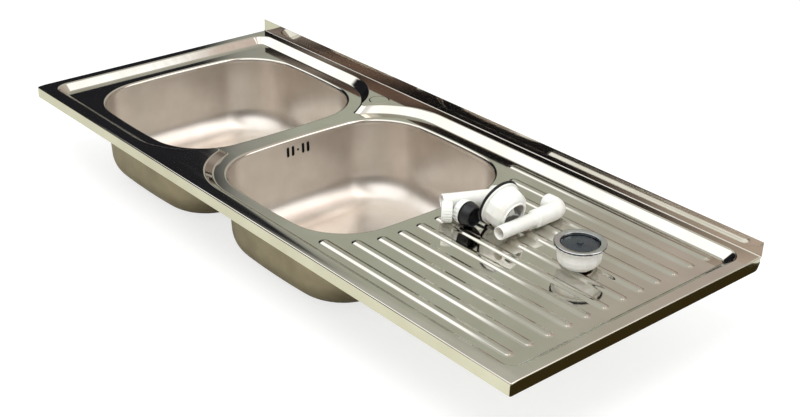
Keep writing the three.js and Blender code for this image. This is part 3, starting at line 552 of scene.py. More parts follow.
def raise_upstand(skin):
    """The upstand folded up along the back. Gives the row where it begins."""
    profile = [(BACK - GUARD, 0.0), (BACK, 0.0)]
    for a in quarter_turn(10):
        profile.append((BACK + FOLD - UPSTAND_FOLD * (1 - sin(a)), UPSTAND_FOLD * (1 - cos(a))))
    profile += [(BACK + FOLD, UPSTAND - GUARD), (BACK + FOLD, UPSTAND)]
    stations = [0, 4, 9, 14, *range(20, 1181, 29), 1191, 1196, DECK_LENGTH]
    low, high = FOLD + GUARD, DECK_LENGTH - FOLD - GUARD
    rows = []
    for n, (y, z) in enumerate(profile):
        # the first two rows lie on the deck, between the skirts' folds
        rows.append(skin.loop([(min(max(x, low), high) if n < 2 else x, y) for x in stations], z))
    skin.strips(rows, closed=False)
    return rows[0]


def make_deck(settings):
    """The pressed sheet: rim, skirts, upstand, recessed field, ribs, tap mark and the bowls' rolled lips."""
    skin = Skin()
    border = fold_skirts(skin) + raise_upstand(skin)[::-1]
    rim_edge, field_edge = skin.sweep(field_outline, wall_profile(settings.wall_radius))

    mark = bowed(sum(BOWL_X) / 2, TAP_MARK, TAP_MARK, TAP_MARK / 2, 2, 10)[0]
    mark = [(x, y + (DECK_DEPTH / 2 - TAP_SETBACK), *rest) for x, y, *rest in mark]
    rise = [(0.9, 0), (0.5, 0), (0.2, 0.05), (-0.6, 0.25), (-1.4, 0.45), (-1.7, 0.5), (-2.1, 0.5)]
    mark_foot, mark_top = skin.sweep(partial(trace, mark), rise)
    skin.fill(mark_top)

    outer = []
    for vert in border:
        if not outer or (vert.co - outer[-1].co).length > NEAR:
            outer.append(vert)
    if (outer[0].co - outer[-1].co).length < NEAR:
        outer.pop()
    skin.fill(outer, rim_edge, mark_foot)

    # the bowls' lips, rolled over and down, their lower part ground with the bowls
    lip = [(GUARD, FIELD_Z)]
    lip += [(-LIP * sin(a), FIELD_Z - LIP * (1 - cos(a))) for a in quarter_turn(10)]
    lip.append((-LIP, FIELD_Z - LIP - COLLAR))
    slots = [0] * 8 + [1] * 4
    holes = [skin.sweep(partial(trace, mouth(x)[0]), lip, slots)[0] for x in BOWL_X]

    # the ribs, pressed up from the field
    run = settings.rib_run
    rise = [(RIB_FLARE + GUARD, FIELD_Z)]
    for t in (i / 10 for i in range(11)):
        rise.append((RIB_FLARE - run * t, FIELD_Z + RIB_HEIGHT * (0.5 - 0.5 * cos(pi * t))))
    rise.append((RIB_FLARE - run - GUARD, FIELD_Z + RIB_HEIGHT))
    for index in range(RIB_COUNT):
        rib_foot, rib_top = skin.sweep(partial(trace, rib_outline(index, settings.rib_corner)), rise)
        skin.fill(rib_top)
        holes.append(rib_foot)
    skin.fill(field_edge, *holes)

    # the front rim dips a little towards its fold
    for y in FALL_CUTS:
        whole = skin.bm.verts[:] + skin.bm.edges[:] + skin.bm.faces[:]
        bmesh.ops.bisect_plane(skin.bm, geom=whole, plane_co=(0, y, 0), plane_no=(0, 1, 0))
    for vert in skin.bm.verts:
        if vert.co.y < RIM_FRONT and vert.co.z > -SKIRT / 2:
            vert.co.z -= RIM_FALL * ((RIM_FRONT - vert.co.y) / RIM_FRONT) ** 2

    skin.upward()
    obj = object_from(skin.bm, "deck", "mirror_polished_stainless", "satin_ground_stainless")
    solidify(obj)
    finish_piece(obj, "sink", "sink_top", crease=50)


# ---- Bowls ----


def cut_slots(obj, x):
    """Cuts the overflow's four slots and its screw hole through a bowl's left wall."""
    cutter = Skin()
    openings = [(0, SCREW_HOLE, SCREW_HOLE)] + [(n, SLOT, SLOT_HEIGHT) for n in (-2, -1, 1, 2)]
    for step, width, height in openings:
        y = DECK_DEPTH / 2 + step * SLOT_PITCH
        low, high = -SLOT_DROP - height / 2, height / 2 - SLOT_DROP
        outline = trace(rectangle(y - width / 2, y + width / 2, low, high, width / 2 - 0.01, 8))
        wall = x - BOWL_WIDTH / 2
        ends = [[cutter.bm.verts.new((wall + reach, a, b)) for a, b in outline] for reach in (-12, 20)]
        cutter.strips(ends)
        for end in ends:
            cutter.bm.faces.new(end)
    bmesh.ops.recalc_face_normals(cutter.bm, faces=cutter.bm.faces[:])
    tool = object_from(cutter.bm, "slot_cutter")
    cut = obj.modifiers.new("Slots", "BOOLEAN")
    cut.object, cut.operation, cut.solver = tool, "DIFFERENCE", "EXACT"
    freeze(obj)
    bpy.data.objects.remove(tool)


def make_slot_shade(x):
    """A black rubber sheet behind the slots, put there as painted shade so that the slots read dark."""
    seal = bmesh.new()
    bmesh.ops.create_cube(seal, size=1, matrix=Matrix.Diagonal((*SLOT_SHADE, 1)))
    bmesh.ops.bevel(seal, geom=seal.edges[:], offset=0.8, segments=3, affect="EDGES")
    place = Matrix.Translation((x - BOWL_WIDTH / 2 - SLOT_SHADE_SETBACK, DECK_DEPTH / 2, -SLOT_DROP))
    place = place @ Matrix.Rotation(radians(BOWL_DRAFT), 4, "Y")
    finish_piece(object_from(seal, "slot_shade_sheet", "moulded_epdm_rubber"), "sink", place=place)


def make_bowl(name, x, slots):
    """A deep-drawn bowl: welded flange, bowed walls, dished floor, waste seat and, on the right, slots."""
    arcs = mouth(x)[0]
    lip_z = FIELD_Z - LIP
    bend = LIP - SHEET - GAP
    draft = radians(BOWL_DRAFT)
    arc_z = BOWL_FLOOR - BOWL_DEPTH
    low = arc_z - BOWL_FLOOR * sin(draft)

    def wall(z):
        """The sloping wall's grow at this height."""
        return -bend - (lip_z - z) * tan(draft)

    arc_grow = wall(low) - BOWL_FLOOR * cos(draft)
    profile = [(BOWL_FLANGE, lip_z + bend)]
    profile += [(-bend * sin(a), lip_z + bend * cos(a)) for a in quarter_turn(6)]
    profile += [(wall(z), z) for z in (lip_z + (low - lip_z) * i / 9 for i in range(1, 9))]
    for a in (draft + (pi / 2 - draft) * i / 20 for i in range(21)):
        profile.append((arc_grow + BOWL_FLOOR * cos(a), arc_z - BOWL_FLOOR * sin(a)))
    skin = Skin()
    loops = [skin.sweep(partial(trace, arcs), profile)[1]]

    # the floor falls to the sunk seat, its outline turning from the bowl's to a circle
    outer, inner = trace(arcs, arc_grow), circle(x, DISH)
    for t in (i / 8 for i in range(1, 9)):
        ring = [(a * (1 - t) + c * t, b * (1 - t) + d * t) for (a, b), (c, d) in zip(outer, inner)]
        loops.append(skin.loop(ring, -BOWL_DEPTH - DISH_FALL * ease(t)))
    floor_z = -BOWL_DEPTH - FLOOR_FALL
    seat = [(DISH, -BOWL_DEPTH - DISH_FALL), (SEAT + SEAT_SLOPE, floor_z)]
    seat += [(SEAT, floor_z - SEAT_DEPTH), (WASTE_HOLE, floor_z - SEAT_DEPTH)]
    loops += [skin.loop(circle(x, radius), z) for radius, z in soften(seat, 2)[1:]]
    skin.strips(loops)
    skin.upward()
    # the outside takes the drawn finish, whose colour is darkened as painted shade
    obj = object_from(skin.bm, name, "satin_ground_stainless", "drawn_stainless_painted_shade")
    solidify(obj, under=1)
    if slots:
        cut_slots(obj, x)
        # a dark sheet behind the slots, which stands in for the shade there
        make_slot_shade(x)
    finish_piece(obj, "sink", name)


# ---- Repeated details by geometry nodes ----


def ring_tree():
    """Geometry nodes: small bars set round a circle, pointing outwards."""
    tree = bpy.data.node_groups.new("Bars round a ring", "GeometryNodeTree")
    for name, kind, value in (
        ("Count", "NodeSocketInt", 24),
        ("Radius", "NodeSocketFloat", 20.0),
        ("Bar", "NodeSocketVector", (1.0, 1.0, 8.0)),
        ("Height", "NodeSocketFloat", 0.0),
        ("Finish", "NodeSocketMaterial", None),
    ):
        socket = tree.interface.new_socket(name, in_out="INPUT", socket_type=kind)
        if value is not None:
            socket.default_value = value
    tree.interface.new_socket("Geometry", in_out="OUTPUT", socket_type="NodeSocketGeometry")
    add = partial(node, tree)
    given = add("NodeGroupInput").outputs
    ring = add("GeometryNodeMeshCircle", Vertices=given["Count"], Radius=given["Radius"]).outputs[0]
    index = add("GeometryNodeInputIndex").outputs[0]
    step = add("ShaderNodeMath", {"operation": "DIVIDE"}, i0=2 * pi, i1=given["Count"]).outputs[0]
    turn = add("ShaderNodeMath", {"operation": "MULTIPLY"}, i0=index, i1=step).outputs[0]
    turn = add("ShaderNodeCombineXYZ", Z=turn).outputs[0]
    bar = add("GeometryNodeMeshCube", Size=given["Bar"], i1=2, i2=3, i3=2).outputs[0]
    bars = add("GeometryNodeInstanceOnPoints", Points=ring, Instance=bar, Rotation=turn).outputs[0]
    lift = add("ShaderNodeCombineXYZ", Z=given["Height"]).outputs[0]
    where = {"Instances": bars, "Translation": lift, "Local_Space": False}
    bars = add("GeometryNodeTranslateInstances", **where).outputs[0]
    bars = add("GeometryNodeRealizeInstances", Geometry=bars).outputs[0]
    bars = add("GeometryNodeSetMaterial", Geometry=bars, Material=given["Finish"]).outputs[0]
    add("NodeGroupOutput", Geometry=bars)
    return tree


def bars_round(count, radius, bar, height, finish_name):
    """A plain mesh of bars round Z."""
    tree = bpy.data.node_groups.get("Bars round a ring") or ring_tree()
    carrier = object_from(bmesh.new(), "bars")
    made = carrier.modifiers.new("Bars", "NODES")
    made.node_group = tree
    values = {"Count": count, "Radius": radius, "Bar": bar, "Height": height, "Finish": finish(finish_name)}
    for item in tree.interface.items_tree:
        if item.in_out == "INPUT":
            made[item.identifier] = values[item.name]
    freeze(carrier)
    mesh = carrier.data
    bm = bmesh.new()
    bm.from_mesh(mesh)
    bpy.data.objects.remove(carrier)
    bpy.data.meshes.remove(mesh)
    return bm


def joined(*parts):
    """One mesh from several."""
    whole = bmesh.new()
    for part in parts:
        mesh = bpy.data.meshes.new("part")
        part.to_mesh(mesh)
        part.free()
        whole.from_mesh(mesh)
        bpy.data.meshes.remove(mesh)
    return whole


# ---- Loose pieces: each is made upright about Z, then laid on the ribs ----

WHITE, RUBBER = "moulded_polypropylene_white", "moulded_epdm_rubber"


def laid(x, y, height, *turns):
    """A place on the drainer, this high above the ribs' tops, turned by each (radians, axis) in order."""
    place = Matrix.Translation((x, y, REST_Z + height))
    for angle, axis in turns:
        place = place @ Matrix.Rotation(angle, 4, axis)
    return place


def sag(radius):
    """How far a round piece sinks into the gap between two ribs."""
    half = min((RIB_PITCH - RIB_WIDTH + 4) / 2, radius)
    return min(RIB_HEIGHT, radius - sqrt(radius**2 - half**2))


def lay_piece(bm, name, finish_name, body, place):
    """Makes a loose piece, which stands for the node of its name."""
    finish_piece(object_from(bm, f"{name}_fine", finish_name), body, name, place=place)


def strainer_cup():
    """Flange with a turned-down edge, and its cup."""
    foot, under = -CUP_DEPTH, -CUP_DEPTH - SHEET
    profile = [
        (3.3, foot), (CUP - 2, foot), (CUP, foot + 2), (CUP + 0.3, -1), (FLANGE - 3, 0),
        (FLANGE - 0.8, -0.4), (FLANGE, -CUP_EDGE), (FLANGE - SHEET, -CUP_EDGE), (FLANGE - 3, -SHEET),
        (CUP + 0.3 + SHEET, -1 - SHEET), (CUP + SHEET, foot + 2 - SHEET), (CUP - 2 + SHEET / 2, under),
        (3.3, under),
    ]
    return turned(profile, 0.9, 128)


def waste_body():
    """Moulded cup in facets, with its round foot, open outlet, the flange under the gasket, boss and arms."""
    low, seat = -WASTE_HEIGHT, BODY_TOP - 3.6
    foot, arm_top = low + 6.5, BOSS_TOP - 2
    cup = turned(
        [
            (OUTLET, low), (OUTLET, low + 2), (BODY - 7, low + 3.5), (BODY - 2, low + 9), (BODY, low + 16),
            (BODY, seat), (FLANGE - 2.5, seat), (FLANGE - 2.5, BODY_TOP), (BODY - BODY_WALL - 0.6, BODY_TOP),
            (BODY - BODY_WALL - 0.6, low + 17), (BODY - 2 - BODY_WALL, low + 11),
            (BODY - 7 - BODY_WALL, low + 6), (OUTLET - BODY_WALL, low + 4.5), (OUTLET - BODY_WALL, low),
        ],
        1.6,
        144,
    )
    # soft upright facets pressed into the cup's side
    flat = 2 * pi / BODY_FLATS
    for vert in cup.verts:
        radius = hypot(vert.co.x, vert.co.y)
        if BODY - 8 < radius < BODY + 0.1 and low + 3 < vert.co.z < BODY_TOP - 4:
            angle = atan2(vert.co.y, vert.co.x) % flat - flat / 2
            share = min(1, (vert.co.z - low - 3) / 9)
            pull = 1 - (1 - cos(flat / 2) / cos(angle)) * share
            vert.co.x *= pull
            vert.co.y *= pull
    boss = [(0, foot), (5.5, foot), (5.5, BOSS_TOP), (3.0, BOSS_TOP), (3.0, BOSS_TOP - 6), (0, BOSS_TOP - 6)]
    arms = bars_round(3, 15, (22, 2.5, arm_top - foot), (foot + arm_top) / 2, WHITE)
    return joined(cup, turned(boss, 0.5, 32, closed=False), arms)


def waste_gasket():
    """Rubber ring under the flange, its edge cut in shallow scallops."""
    inner, outer = CUP + SHEET + GAP + 0.5, FLANGE - 1.4
    ring = [(inner, GASKET_FOOT), (outer, GASKET_FOOT), (outer, GASKET_TOP), (inner, GASKET_TOP)]
    middle = (GASKET_FOOT + GASKET_TOP) / 2
    teeth = bars_round(30, outer, (1.5, 4.6, 1.5), middle, RUBBER)
    return joined(turned(ring, 0.4, 120), teeth)


def waste_screw():
    """Clamp screw with a flat round head."""
    top, end = SCREW_SEAT + SCREW_HEAD, SCREW_SEAT - SCREW_LENGTH
    profile = [
        (0, end), (2.1, end), (2.7, end + 1.5), (2.7, SCREW_SEAT), (6.5, SCREW_SEAT), (6.5, SCREW_SEAT + 0.8),
        (4.5, top), (0, top),
    ]
    return turned(profile, 0.4, 48, closed=False)


def waste_plug():
    """Rubber plug: a sealing disc with a knob."""
    foot = SCREW_SEAT + SCREW_HEAD + GAP
    seal, knob = 26.8, 5
    profile = [
        (0, foot), (knob + 1, foot), (knob + 1, foot + 2), (seal - 3, foot + 3), (seal, foot + 4.5),
        (seal - 0.8, foot + 6.5), (knob + 3, foot + 7), (knob - 1, foot + 8), (knob - 1, foot + 9.2),
        (knob, foot + 10), (knob - 1, foot + 11), (0, foot + 11.2),
    ]
    return turned(profile, 0.8, 96, closed=False)


def make_wastes():
    """One waste stands on the ribs, and the other lies on its flange and body."""
    gap = rib_middle(WASTE_RIB) + RIB_PITCH / 2
    touches = ((OUTLET, WASTE_HEIGHT), (BODY - 2, WASTE_HEIGHT - 9), (BODY, WASTE_HEIGHT - 16))
    lean = min(atan2(FLANGE - radius, along - CUP_EDGE) for radius, along in touches)
    height = FLANGE * cos(lean) + CUP_EDGE * sin(lean) - sag(FLANGE)
    for body, place in (
        ("waste_a", laid(WASTE_A_X, gap, WASTE_HEIGHT)),
        ("waste_b", laid(WASTE_B_X, gap, height, (-pi / 2 + lean, "Y"))),
    ):
        lay_piece(strainer_cup(), f"{body}_strainer_cup", "spun_stainless", body, place)
        lay_piece(waste_gasket(), f"{body}_gasket", RUBBER, body, place)
        lay_piece(waste_body(), f"{body}_body", WHITE, body, place)
        lay_piece(waste_screw(), f"{body}_screw", "spun_stainless", body, place)
        lay_piece(waste_plug(), f"{body}_plug", "moulded_nitrile_rubber", f"{body}_plug", place)


def make_drain():
    """Drain pipe with a socket, and its slip nut with the cone washer inside."""
    inner, shoulder = PIPE - PIPE_WALL, PIPE_LENGTH - SOCKET_LENGTH
    pipe = [
        (inner, 0), (PIPE - 0.6, 0), (PIPE, 1.2), (PIPE, shoulder - 4), (SOCKET, shoulder),
        (SOCKET, PIPE_LENGTH), (SOCKET - SOCKET_WALL, PIPE_LENGTH), (SOCKET - SOCKET_WALL, shoulder + 1),
        (inner, shoulder - 2),
    ]
    place = laid(PIPE_X, PIPE_Y, SOCKET, (radians(PIPE_TURN), "Z"), (-pi / 2, "X"))
    lay_piece(turned(pipe, 0.9, 96), "drain_pipe", WHITE, "drain_pipe", place)

    bore, thread, end = PIPE + GAP, SOCKET - 1.8, NUT_LENGTH - 3
    nut = [
        (thread, 0), (SOCKET - 0.9, 0), (SOCKET - 0.9, 14), (SOCKET - 2, NUT_LENGTH), (bore, NUT_LENGTH),
        (bore, end), (thread, end),
    ]
    grips = bars_round(24, SOCKET - 1.0, (1.6, 1.8, 12), 7.2, WHITE)
    across = radians(NUT_TURN)
    x, y = NUT_X + 8 * cos(across), rib_middle(NUT_RIB) - NUT_SETBACK + 8 * sin(across)
    place = laid(x, y, SOCKET, (across, "Z"), (-pi / 2, "Y"))
    lay_piece(joined(turned(nut, 0.6, 96), grips), "slip_nut", WHITE, "slip_nut", place)
    top, edge = end - GAP, thread - GAP
    washer = [(bore, top - 7), (bore + 0.7, top - 7), (edge, top - 2), (edge, top), (bore, top)]
    lay_piece(turned(washer, 0.3, 64), "cone_washer", RUBBER, "slip_nut", place)


def make_overflow_pipe():
    """Overflow tube: plain end, a step up to its sleeve, and a bend to a short tail."""
    path = [(Vector((0, y, 0)), TUBE) for y in (0, 2, 20, 40, 60, 69)]
    for t in (0.15, 0.3, 0.5, 0.7, 0.85, 1):
        path.append((Vector((0, 70 + 3 * t, 0)), TUBE + (SLEEVE - TUBE) * ease(t)))
    path += [(Vector((0, y, 0)), SLEEVE) for y in (80, 95, 108)]
    start, corner, end = Vector((0, 112, 0)), Vector((0, 128, 0)), Vector((-16, 128, 0))
    for t in (i / 16 for i in range(17)):
        path.append((start * (1 - t) ** 2 + corner * 2 * t * (1 - t) + end * t * t, SLEEVE))
    path += [(Vector((x, 128, 0)), SLEEVE) for x in (-18, -22, -27.2, -28)]

    # out along the outside and back along the bore, each end's edge a little rounded
    skin, rings, last = Skin(), [], len(path) - 1
    for order, sign, inset, soft in ((path, 1, 0, -0.5), (path[::-1], -1, TUBE_WALL, 0.5)):
        for i, (point, radius) in enumerate(order):
            along = (order[min(i + 1, last)][0] - order[max(i - 1, 0)][0]).normalized() * sign
            across = Vector((along.y, -along.x, 0))
            reach = radius - inset + (soft if i in (0, last) else 0)
            rings.append([
                skin.bm.verts.new(point + across * reach * cos(a) + Vector((0, 0, reach * sin(a))))
                for a in full_turn(64)
            ])
    skin.strips(rings + rings[:1])
    bmesh.ops.recalc_face_normals(skin.bm, faces=skin.bm.faces[:])
    lay_piece(skin.bm, "overflow_pipe", WHITE, "overflow_pipe", laid(TUBE_X, TUBE_Y, SLEEVE))


def make_overflow_fitting():
    """Overflow head with its gasket and ring nut."""
    y = rib_middle(HEAD_RIB) + RIB_PITCH / 2
    place = laid(HEAD_X, y, HEAD_REST - sag(HEAD_REST), (pi / 2, "Y"))
    body, bore = "overflow_fitting", NUT_BORE
    nut = [(16, 0), (17.4, 0), (NUT_GRIP, 1), (NUT_GRIP, 12), (bore, 12), (bore, 9), (16, 9)]
    grips = bars_round(20, 18.0, (1.4, 2.2, 9.6), 6.2, WHITE)
    lay_piece(joined(turned(nut, 0.6, 96), grips), "overflow_nut", WHITE, body, place)
    ring = [(bore, 12.3), (HEAD_REST, 12.3), (HEAD_REST, 14.3), (bore, 14.3)]
    lay_piece(turned(ring, 0.4, 64), "overflow_gasket", RUBBER, body, place)
    back, outer = 14.6, 18.5
    front = back + 15
    head = [
        (7, 1), (9, 1), (9, back), (outer, back), (outer, back + 4), (outer - 2, front - 3),
        (outer - 4, front), (outer - 6, front), (outer - 5, front - 4), (outer - 3, back + 5),
        (7, back + 2.5),
    ]
    lay_piece(turned(head, 1.0, 96), "overflow_head", "moulded_abs_black", body, place)


# ---- Stage: floor, lamp, surroundings and camera ----

# Light round the horizon at each height, as colours at azimuths in degrees
HORIZON_BAND = [
    (0, "#4a443c"), (60, "#5a5048"), (118, "#93857b"), (126, "#8a7a70"), (130, "#6a5b50"), (131, "#18181b"),
    (133, "#18181b"), (134, "#7d6d62"), (139, "#6a5c52"), (141, "#1c1c1f"), (231, "#1c1c1f"),
    (240, "#6b5d54"), (330, "#4a443c"),
]
LOW_BAND = [
    (0, "#6f6a62"), (60, "#9a938a"), (110, "#c2b3aa"), (125, "#c4b8ae"), (132, "#bbbcae"), (143, "#b9bcad"),
    (146.6, "#9a9993"), (147.6, "#26262a"), (215.8, "#1c1c1f"), (216.1, "#c2b3ad"), (216.8, "#b5a69f"),
    (217, "#1f1c1e"), (218.6, "#1f1c1e"), (219.1, "#8f7265"), (220.5, "#a08478"), (221.2, "#5a4640"),
    (222.1, "#1d1c1e"), (231, "#201f21"), (233, "#6a5853"), (234.4, "#b9aaa2"), (235.8, "#c2b4aa"),
    (238, "#f2dcd0"), (242, "#cdbdb3"), (270, "#a09a92"), (330, "#6f6a62"),
]
MIDDLE_BAND = [
    (0, "#8d8881"), (60, "#b79f94"), (100, "#a5a198"), (150, "#a3a39b"), (165, "#aaaaa2"), (174, "#ffffff"),
    (340, "#ffffff"), (352, "#8d8881"),
]
HIGH_BAND = [
    (0, "#a9a5a0"), (55, "#c9b6ad"), (62, "#cdb9b1"), (75, "#b9aaa2"), (100, "#a3a098"), (185, "#a4a49b"),
    (196, "#ffffff"), (340, "#ffffff"), (352, "#a39f9a"),
]
TOP_BAND = [
    (0, "#a9a5a0"), (52, "#c9b6ad"), (57, "#ffffff"), (75, "#ffffff"), (79, "#a3a098"), (185, "#a4a49b"),
    (200, "#ffffff"), (340, "#ffffff"), (352, "#a39f9a"),
]
CEILING = [(0, "#f4f1ec")]
SIDE_BAND = [
    (0, "#000000"), (6, "#000000"), (14, "#ffffff"), (50, "#ffffff"), (56, "#000000"), (350, "#000000"),
]
SIDE_LOW, SIDE_HIGH, SIDE_LIGHT = 8, 16, 1.6

# The heights in degrees between which each band takes over from the one below it, the band and its power
LAYERS = (
    (9, 14, LOW_BAND, 1),
    (33, 38, MIDDLE_BAND, 1.6),
    (53.8, 55.5, HIGH_BAND, 1.6),
    (59, 60, TOP_BAND, 1.6),
    (63.5, 66, HIGH_BAND, 1.6),
    (76, 86, CEILING, 1.5),
)

# The lamp, the card's corners and the floor, in metres from the frame's origin
LAMP_PLACE, LAMP_TARGET, LAMP_SIZE = (0.9, -1.0, 2.4), (0, 0, 0.1), 1.4
CARD = [(0.95, -0.5, 0.002), (0.95, 0.5, 0.002), (0.62, 0.5, 0.002), (0.62, -0.5, 0.002)]
FLOOR_REACH, FLOOR_Z = 12, -0.0005
FLOOR_GLOW, FLOOR_SHEEN = 0.72, 0.02  # not lengths: its own light, to the camera and to the steel

# The photograph's view, from a perspective fit of the deck's corners
VIEW_AZIMUTH, VIEW_RISE, VIEW_ROLL = 48.593, 26.907, 1.49  # degrees
VIEW_TARGET, VIEW_DISTANCE = (769.848, 196.048, 0), 1.986484  # millimetres on the deck, and metres
FOCAL_LENGTH, PICTURE_WIDTH, SENSOR = 1330.387, 800, 36  # pixels, pixels and millimetres


def seen_by(add, light, steel, camera):
    """One colour for the light, one for the steel's reflections and one for the camera.
    Gives the colour, and which rays are the steel's and the camera's."""
    path = add("ShaderNodeLightPath").outputs
    camera_ray, glossy, through = path["Is Camera Ray"], path["Is Glossy Ray"], path["Is Transmission Ray"]
    direct = add("ShaderNodeMath", {"operation": "MAXIMUM"}, i0=camera_ray, i1=through).outputs[0]
    colour = light
    for share, over in ((glossy, steel), (direct, camera)):
        colour = add("ShaderNodeMix", {"data_type": "RGBA"}, Factor=share, i6=colour, i7=over).outputs[2]
    return colour, glossy, direct


def make_world():
    """White to the camera, and a studio of soft panels to the steel: bright above, dark along the horizon."""
    world = bpy.data.worlds.new("studio")
    bpy.context.scene.world = world
    world.use_nodes = True
    world.cycles.sampling_method = "NONE"
    world.node_tree.nodes.clear()
    add = partial(node, world.node_tree)
    ray = add("ShaderNodeTexCoord").outputs["Generated"]
    x, y, z = add("ShaderNodeSeparateXYZ", Vector=ray).outputs
    turn = add("ShaderNodeMath", {"operation": "ARCTAN2"}, i0=y, i1=x).outputs[0]
    turn = add("ShaderNodeMath", {"operation": "DIVIDE"}, i0=turn, i1=2 * pi).outputs[0]
    turn = add("ShaderNodeMath", {"operation": "FRACT"}, i0=turn).outputs[0]
    rise = add("ShaderNodeMath", {"operation": "ARCSINE"}, i0=z).outputs[0]
    rise = add("ShaderNodeMath", {"operation": "MULTIPLY"}, i0=rise, i1=180 / pi).outputs[0]
    soft = {"interpolation_type": "SMOOTHSTEP"}

    def band(stops, power):
        """Light round the horizon."""
        ramp = add("ShaderNodeValToRGB", Fac=turn)
        marks = ramp.color_ramp.elements
        marks.remove(marks[1])
        for i, (azimuth, code) in enumerate(stops):
            mark = marks[0] if i == 0 else marks.new(azimuth / 360)
            mark.position = azimuth / 360
            mark.color = linear(code)
        return add("ShaderNodeVectorMath", {"operation": "SCALE"}, i0=ramp.outputs[0], Scale=power).outputs[0]

    seen = band(HORIZON_BAND, 1)
    for low, high, stops, power in LAYERS:
        share = add("ShaderNodeMapRange", soft, Value=rise, From_Min=low, From_Max=high).outputs[0]
        upper = band(stops, power)
        seen = add("ShaderNodeMix", {"data_type": "RGBA"}, Factor=share, i6=seen, i7=upper).outputs[2]
    # a large softbox low on the right, which the bowls' back and left walls face
    side = add(
        "ShaderNodeMapRange", soft, Value=rise, From_Min=SIDE_LOW, From_Max=SIDE_HIGH, To_Max=SIDE_LIGHT
    ).outputs[0]
    box = band(SIDE_BAND, 1)
    side = add("ShaderNodeVectorMath", {"operation": "SCALE"}, i0=box, Scale=side).outputs[0]
    seen = add("ShaderNodeVectorMath", {"operation": "ADD"}, i0=seen, i1=side).outputs[0]
    shown, _, _ = seen_by(add, linear("#ececec"), seen, linear("#ffffff"))
    light = add("ShaderNodeBackground", Color=shown, Strength=1.0)
    add("ShaderNodeOutputWorld", Surface=light.outputs[0])


def stage_face(name, material, corners):
    """A flat face that belongs to the stage, and what adds nodes to its empty material."""
    made = bpy.data.materials.new(material)
    made.use_nodes = True
    made.cycles.emission_sampling = "NONE"
    made.node_tree.nodes.clear()
    bm = bmesh.new()
    bm.faces.new([bm.verts.new(corner) for corner in corners])
    obj = object_from(bm, name)
    obj.data.materials.append(made)
    return obj, partial(node, made.node_tree)


def make_floor():
    """A plain pale floor: white to the camera with the object's shadow, warm white in the steel."""
    corners = [(x * FLOOR_REACH, y * FLOOR_REACH, FLOOR_Z) for x, y in ((-1, -1), (1, -1), (1, 1), (-1, 1))]
    _, add = stage_face("floor", "pale_floor", corners)
    base, glossy, direct = seen_by(add, linear("#e6e6e6"), linear("#e3e3cd"), linear("#a8a8a8"))
    diffuse = add("ShaderNodeBsdfDiffuse", Color=base).outputs[0]
    glow = add("ShaderNodeMath", {"operation": "MULTIPLY"}, i0=direct, i1=FLOOR_GLOW).outputs[0]
    glow = add("ShaderNodeMath", {"operation": "MULTIPLY_ADD"}, i0=glossy, i1=FLOOR_SHEEN, i2=glow).outputs[0]
    light = add("ShaderNodeEmission", Color=linear("#ffffff"), Strength=glow).outputs[0]
    both = add("ShaderNodeAddShader", i0=diffuse, i1=light)
    add("ShaderNodeOutputMaterial", Surface=both.outputs[0])


def make_card():
    """A dark card on the floor beside the object, seen only by the steel."""
    card, add = stage_face("dark_card_right", "dark_card_right", CARD)
    light = add("ShaderNodeEmission", Color=linear("#3a3018"), Strength=1.0)
    add("ShaderNodeOutputMaterial", Surface=light.outputs[0])
    for ray in ("camera", "diffuse", "shadow", "transmission"):
        setattr(card, f"visible_{ray}", False)


def make_lamp(power):
    """The key light, a round softbox that the steel doesn't mirror."""
    data = bpy.data.lights.new("key softbox", "AREA")
    data.shape, data.size, data.energy = "DISK", LAMP_SIZE, power
    lamp = linked("key softbox", data)
    lamp.location = LAMP_PLACE
    lamp.rotation_euler = (Vector(LAMP_TARGET) - Vector(LAMP_PLACE)).to_track_quat("-Z", "Y").to_euler()
    lamp.visible_glossy = False


def make_camera():
    """The camera at the photograph's view."""
    azimuth, rise, roll = (radians(angle) for angle in (VIEW_AZIMUTH, VIEW_RISE, VIEW_ROLL))
    back = Vector((sin(azimuth) * cos(rise), -cos(azimuth) * cos(rise), sin(rise)))
    right = Vector((cos(azimuth), sin(azimuth), 0))
    up = back.cross(right)
    right, up = right * cos(roll) + up * sin(roll), up * cos(roll) - right * sin(roll)
    target = DECK @ Vector(VIEW_TARGET)
    data = bpy.data.cameras.new("camera")
    data.sensor_fit, data.sensor_width = "HORIZONTAL", SENSOR
    data.lens = FOCAL_LENGTH * SENSOR / PICTURE_WIDTH
    camera = linked("camera", data)
    turn = Matrix((right, up, back)).transposed().to_4x4()
    camera.matrix_world = Matrix.Translation(target + back * VIEW_DISTANCE) @ turn
    bpy.context.scene.camera = camera


# ---- Add-on ----


class SinkDeckSettings(bpy.types.PropertyGroup):
    """Shape of the pressed deck, in millimetres"""

    wall_radius: bpy.props.FloatProperty(
        name="Wall radius", description="Rounding at the top and foot of the recess wall, in millimetres",
        default=6.0, min=1,
    )
    rib_corner: bpy.props.FloatProperty(
        name="Rib corner", description="Radius of a rib's corners in plan, in millimetres",
        default=8.4, min=7.5, max=8.45,
    )
    rib_run: bpy.props.FloatProperty(
        name="Rib run", description="Width of a rib's sloping side, in millimetres",
        default=7.5, min=1, max=8,
    )


class SinkStageSettings(bpy.types.PropertyGroup):
    """Light of the studio"""

    lamp: bpy.props.FloatProperty(
        name="Lamp", description="Power of the softbox, in watts", default=38, min=0, unit="POWER"
    )


class SINK_OT_stage(bpy.types.Operator):
    """Sets up the floor, studio and camera"""

    bl_idname = "sink.stage"
    bl_label = "Make stage"

    def execute(self, context):
        context.scene.view_settings.view_transform = "Standard"
        make_world()
        make_floor()
        make_lamp(context.scene.sink_stage.lamp)
        make_card()
        make_camera()
        return {"FINISHED"}


class SINK_OT_deck(bpy.types.Operator):
    """Makes the pressed deck with its drainer, skirts and upstand"""

    bl_idname = "sink.deck"
    bl_label = "Make deck"

    def execute(self, context):
        make_deck(context.scene.sink_deck)
        return {"FINISHED"}


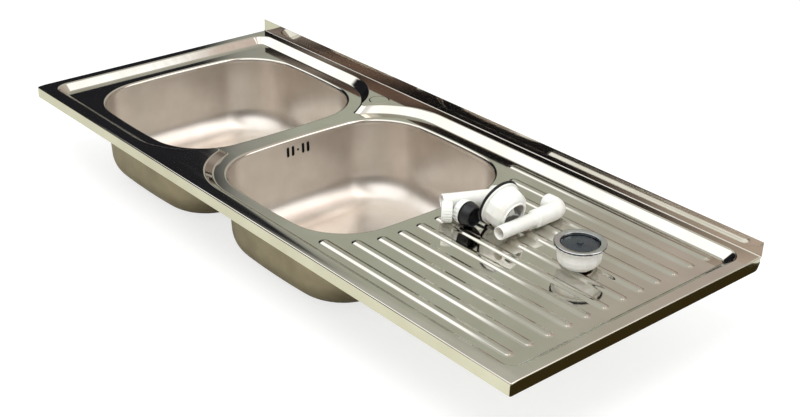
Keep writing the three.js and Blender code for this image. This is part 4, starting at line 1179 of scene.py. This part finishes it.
class SINK_OT_bowls(bpy.types.Operator):
    """Makes the two deep-drawn bowls"""

    bl_idname = "sink.bowls"
    bl_label = "Make bowls"

    def execute(self, context):
        make_bowl("left_bowl", BOWL_X[0], False)
        make_bowl("right_bowl", BOWL_X[1], True)
        return {"FINISHED"}


class SINK_OT_wastes(bpy.types.Operator):
    """Makes the two strainer wastes"""

    bl_idname = "sink.wastes"
    bl_label = "Make wastes"

    def execute(self, context):
        make_wastes()
        return {"FINISHED"}


class SINK_OT_pipework(bpy.types.Operator):
    """Makes the loose pipes, nuts and overflow fitting"""

    bl_idname = "sink.pipework"
    bl_label = "Make pipework"

    def execute(self, context):
        make_drain()
        make_overflow_pipe()
        make_overflow_fitting()
        return {"FINISHED"}


class SINK_PT_panel(bpy.types.Panel):
    """The sink's settings and makers"""

    bl_label = "Sink"
    bl_idname = "SINK_PT_panel"
    bl_space_type = "VIEW_3D"
    bl_region_type = "UI"
    bl_category = "Sink"

    def draw(self, context):
        self.layout.prop(context.scene.sink_stage, "lamp")
        for name in ("wall_radius", "rib_corner", "rib_run"):
            self.layout.prop(context.scene.sink_deck, name)
        for each in MAKERS:
            self.layout.operator(each.bl_idname)


MAKERS = (SINK_OT_stage, SINK_OT_deck, SINK_OT_bowls, SINK_OT_wastes, SINK_OT_pipework)
CLASSES = (SinkDeckSettings, SinkStageSettings, *MAKERS, SINK_PT_panel)


def register():
    for each in CLASSES:
        bpy.utils.register_class(each)
    bpy.types.Scene.sink_deck = bpy.props.PointerProperty(type=SinkDeckSettings)
    bpy.types.Scene.sink_stage = bpy.props.PointerProperty(type=SinkStageSettings)


def unregister():
    del bpy.types.Scene.sink_stage
    del bpy.types.Scene.sink_deck
    for each in reversed(CLASSES):
        bpy.utils.unregister_class(each)


def main():
    """Makes the stage and every piece."""
    register()
    bpy.ops.sink.stage()
    bpy.ops.sink.deck()
    bpy.ops.sink.bowls()
    bpy.ops.sink.wastes()
    bpy.ops.sink.pipework()
    bpy.context.view_layer.update()


if __name__ == "__main__":
    main()
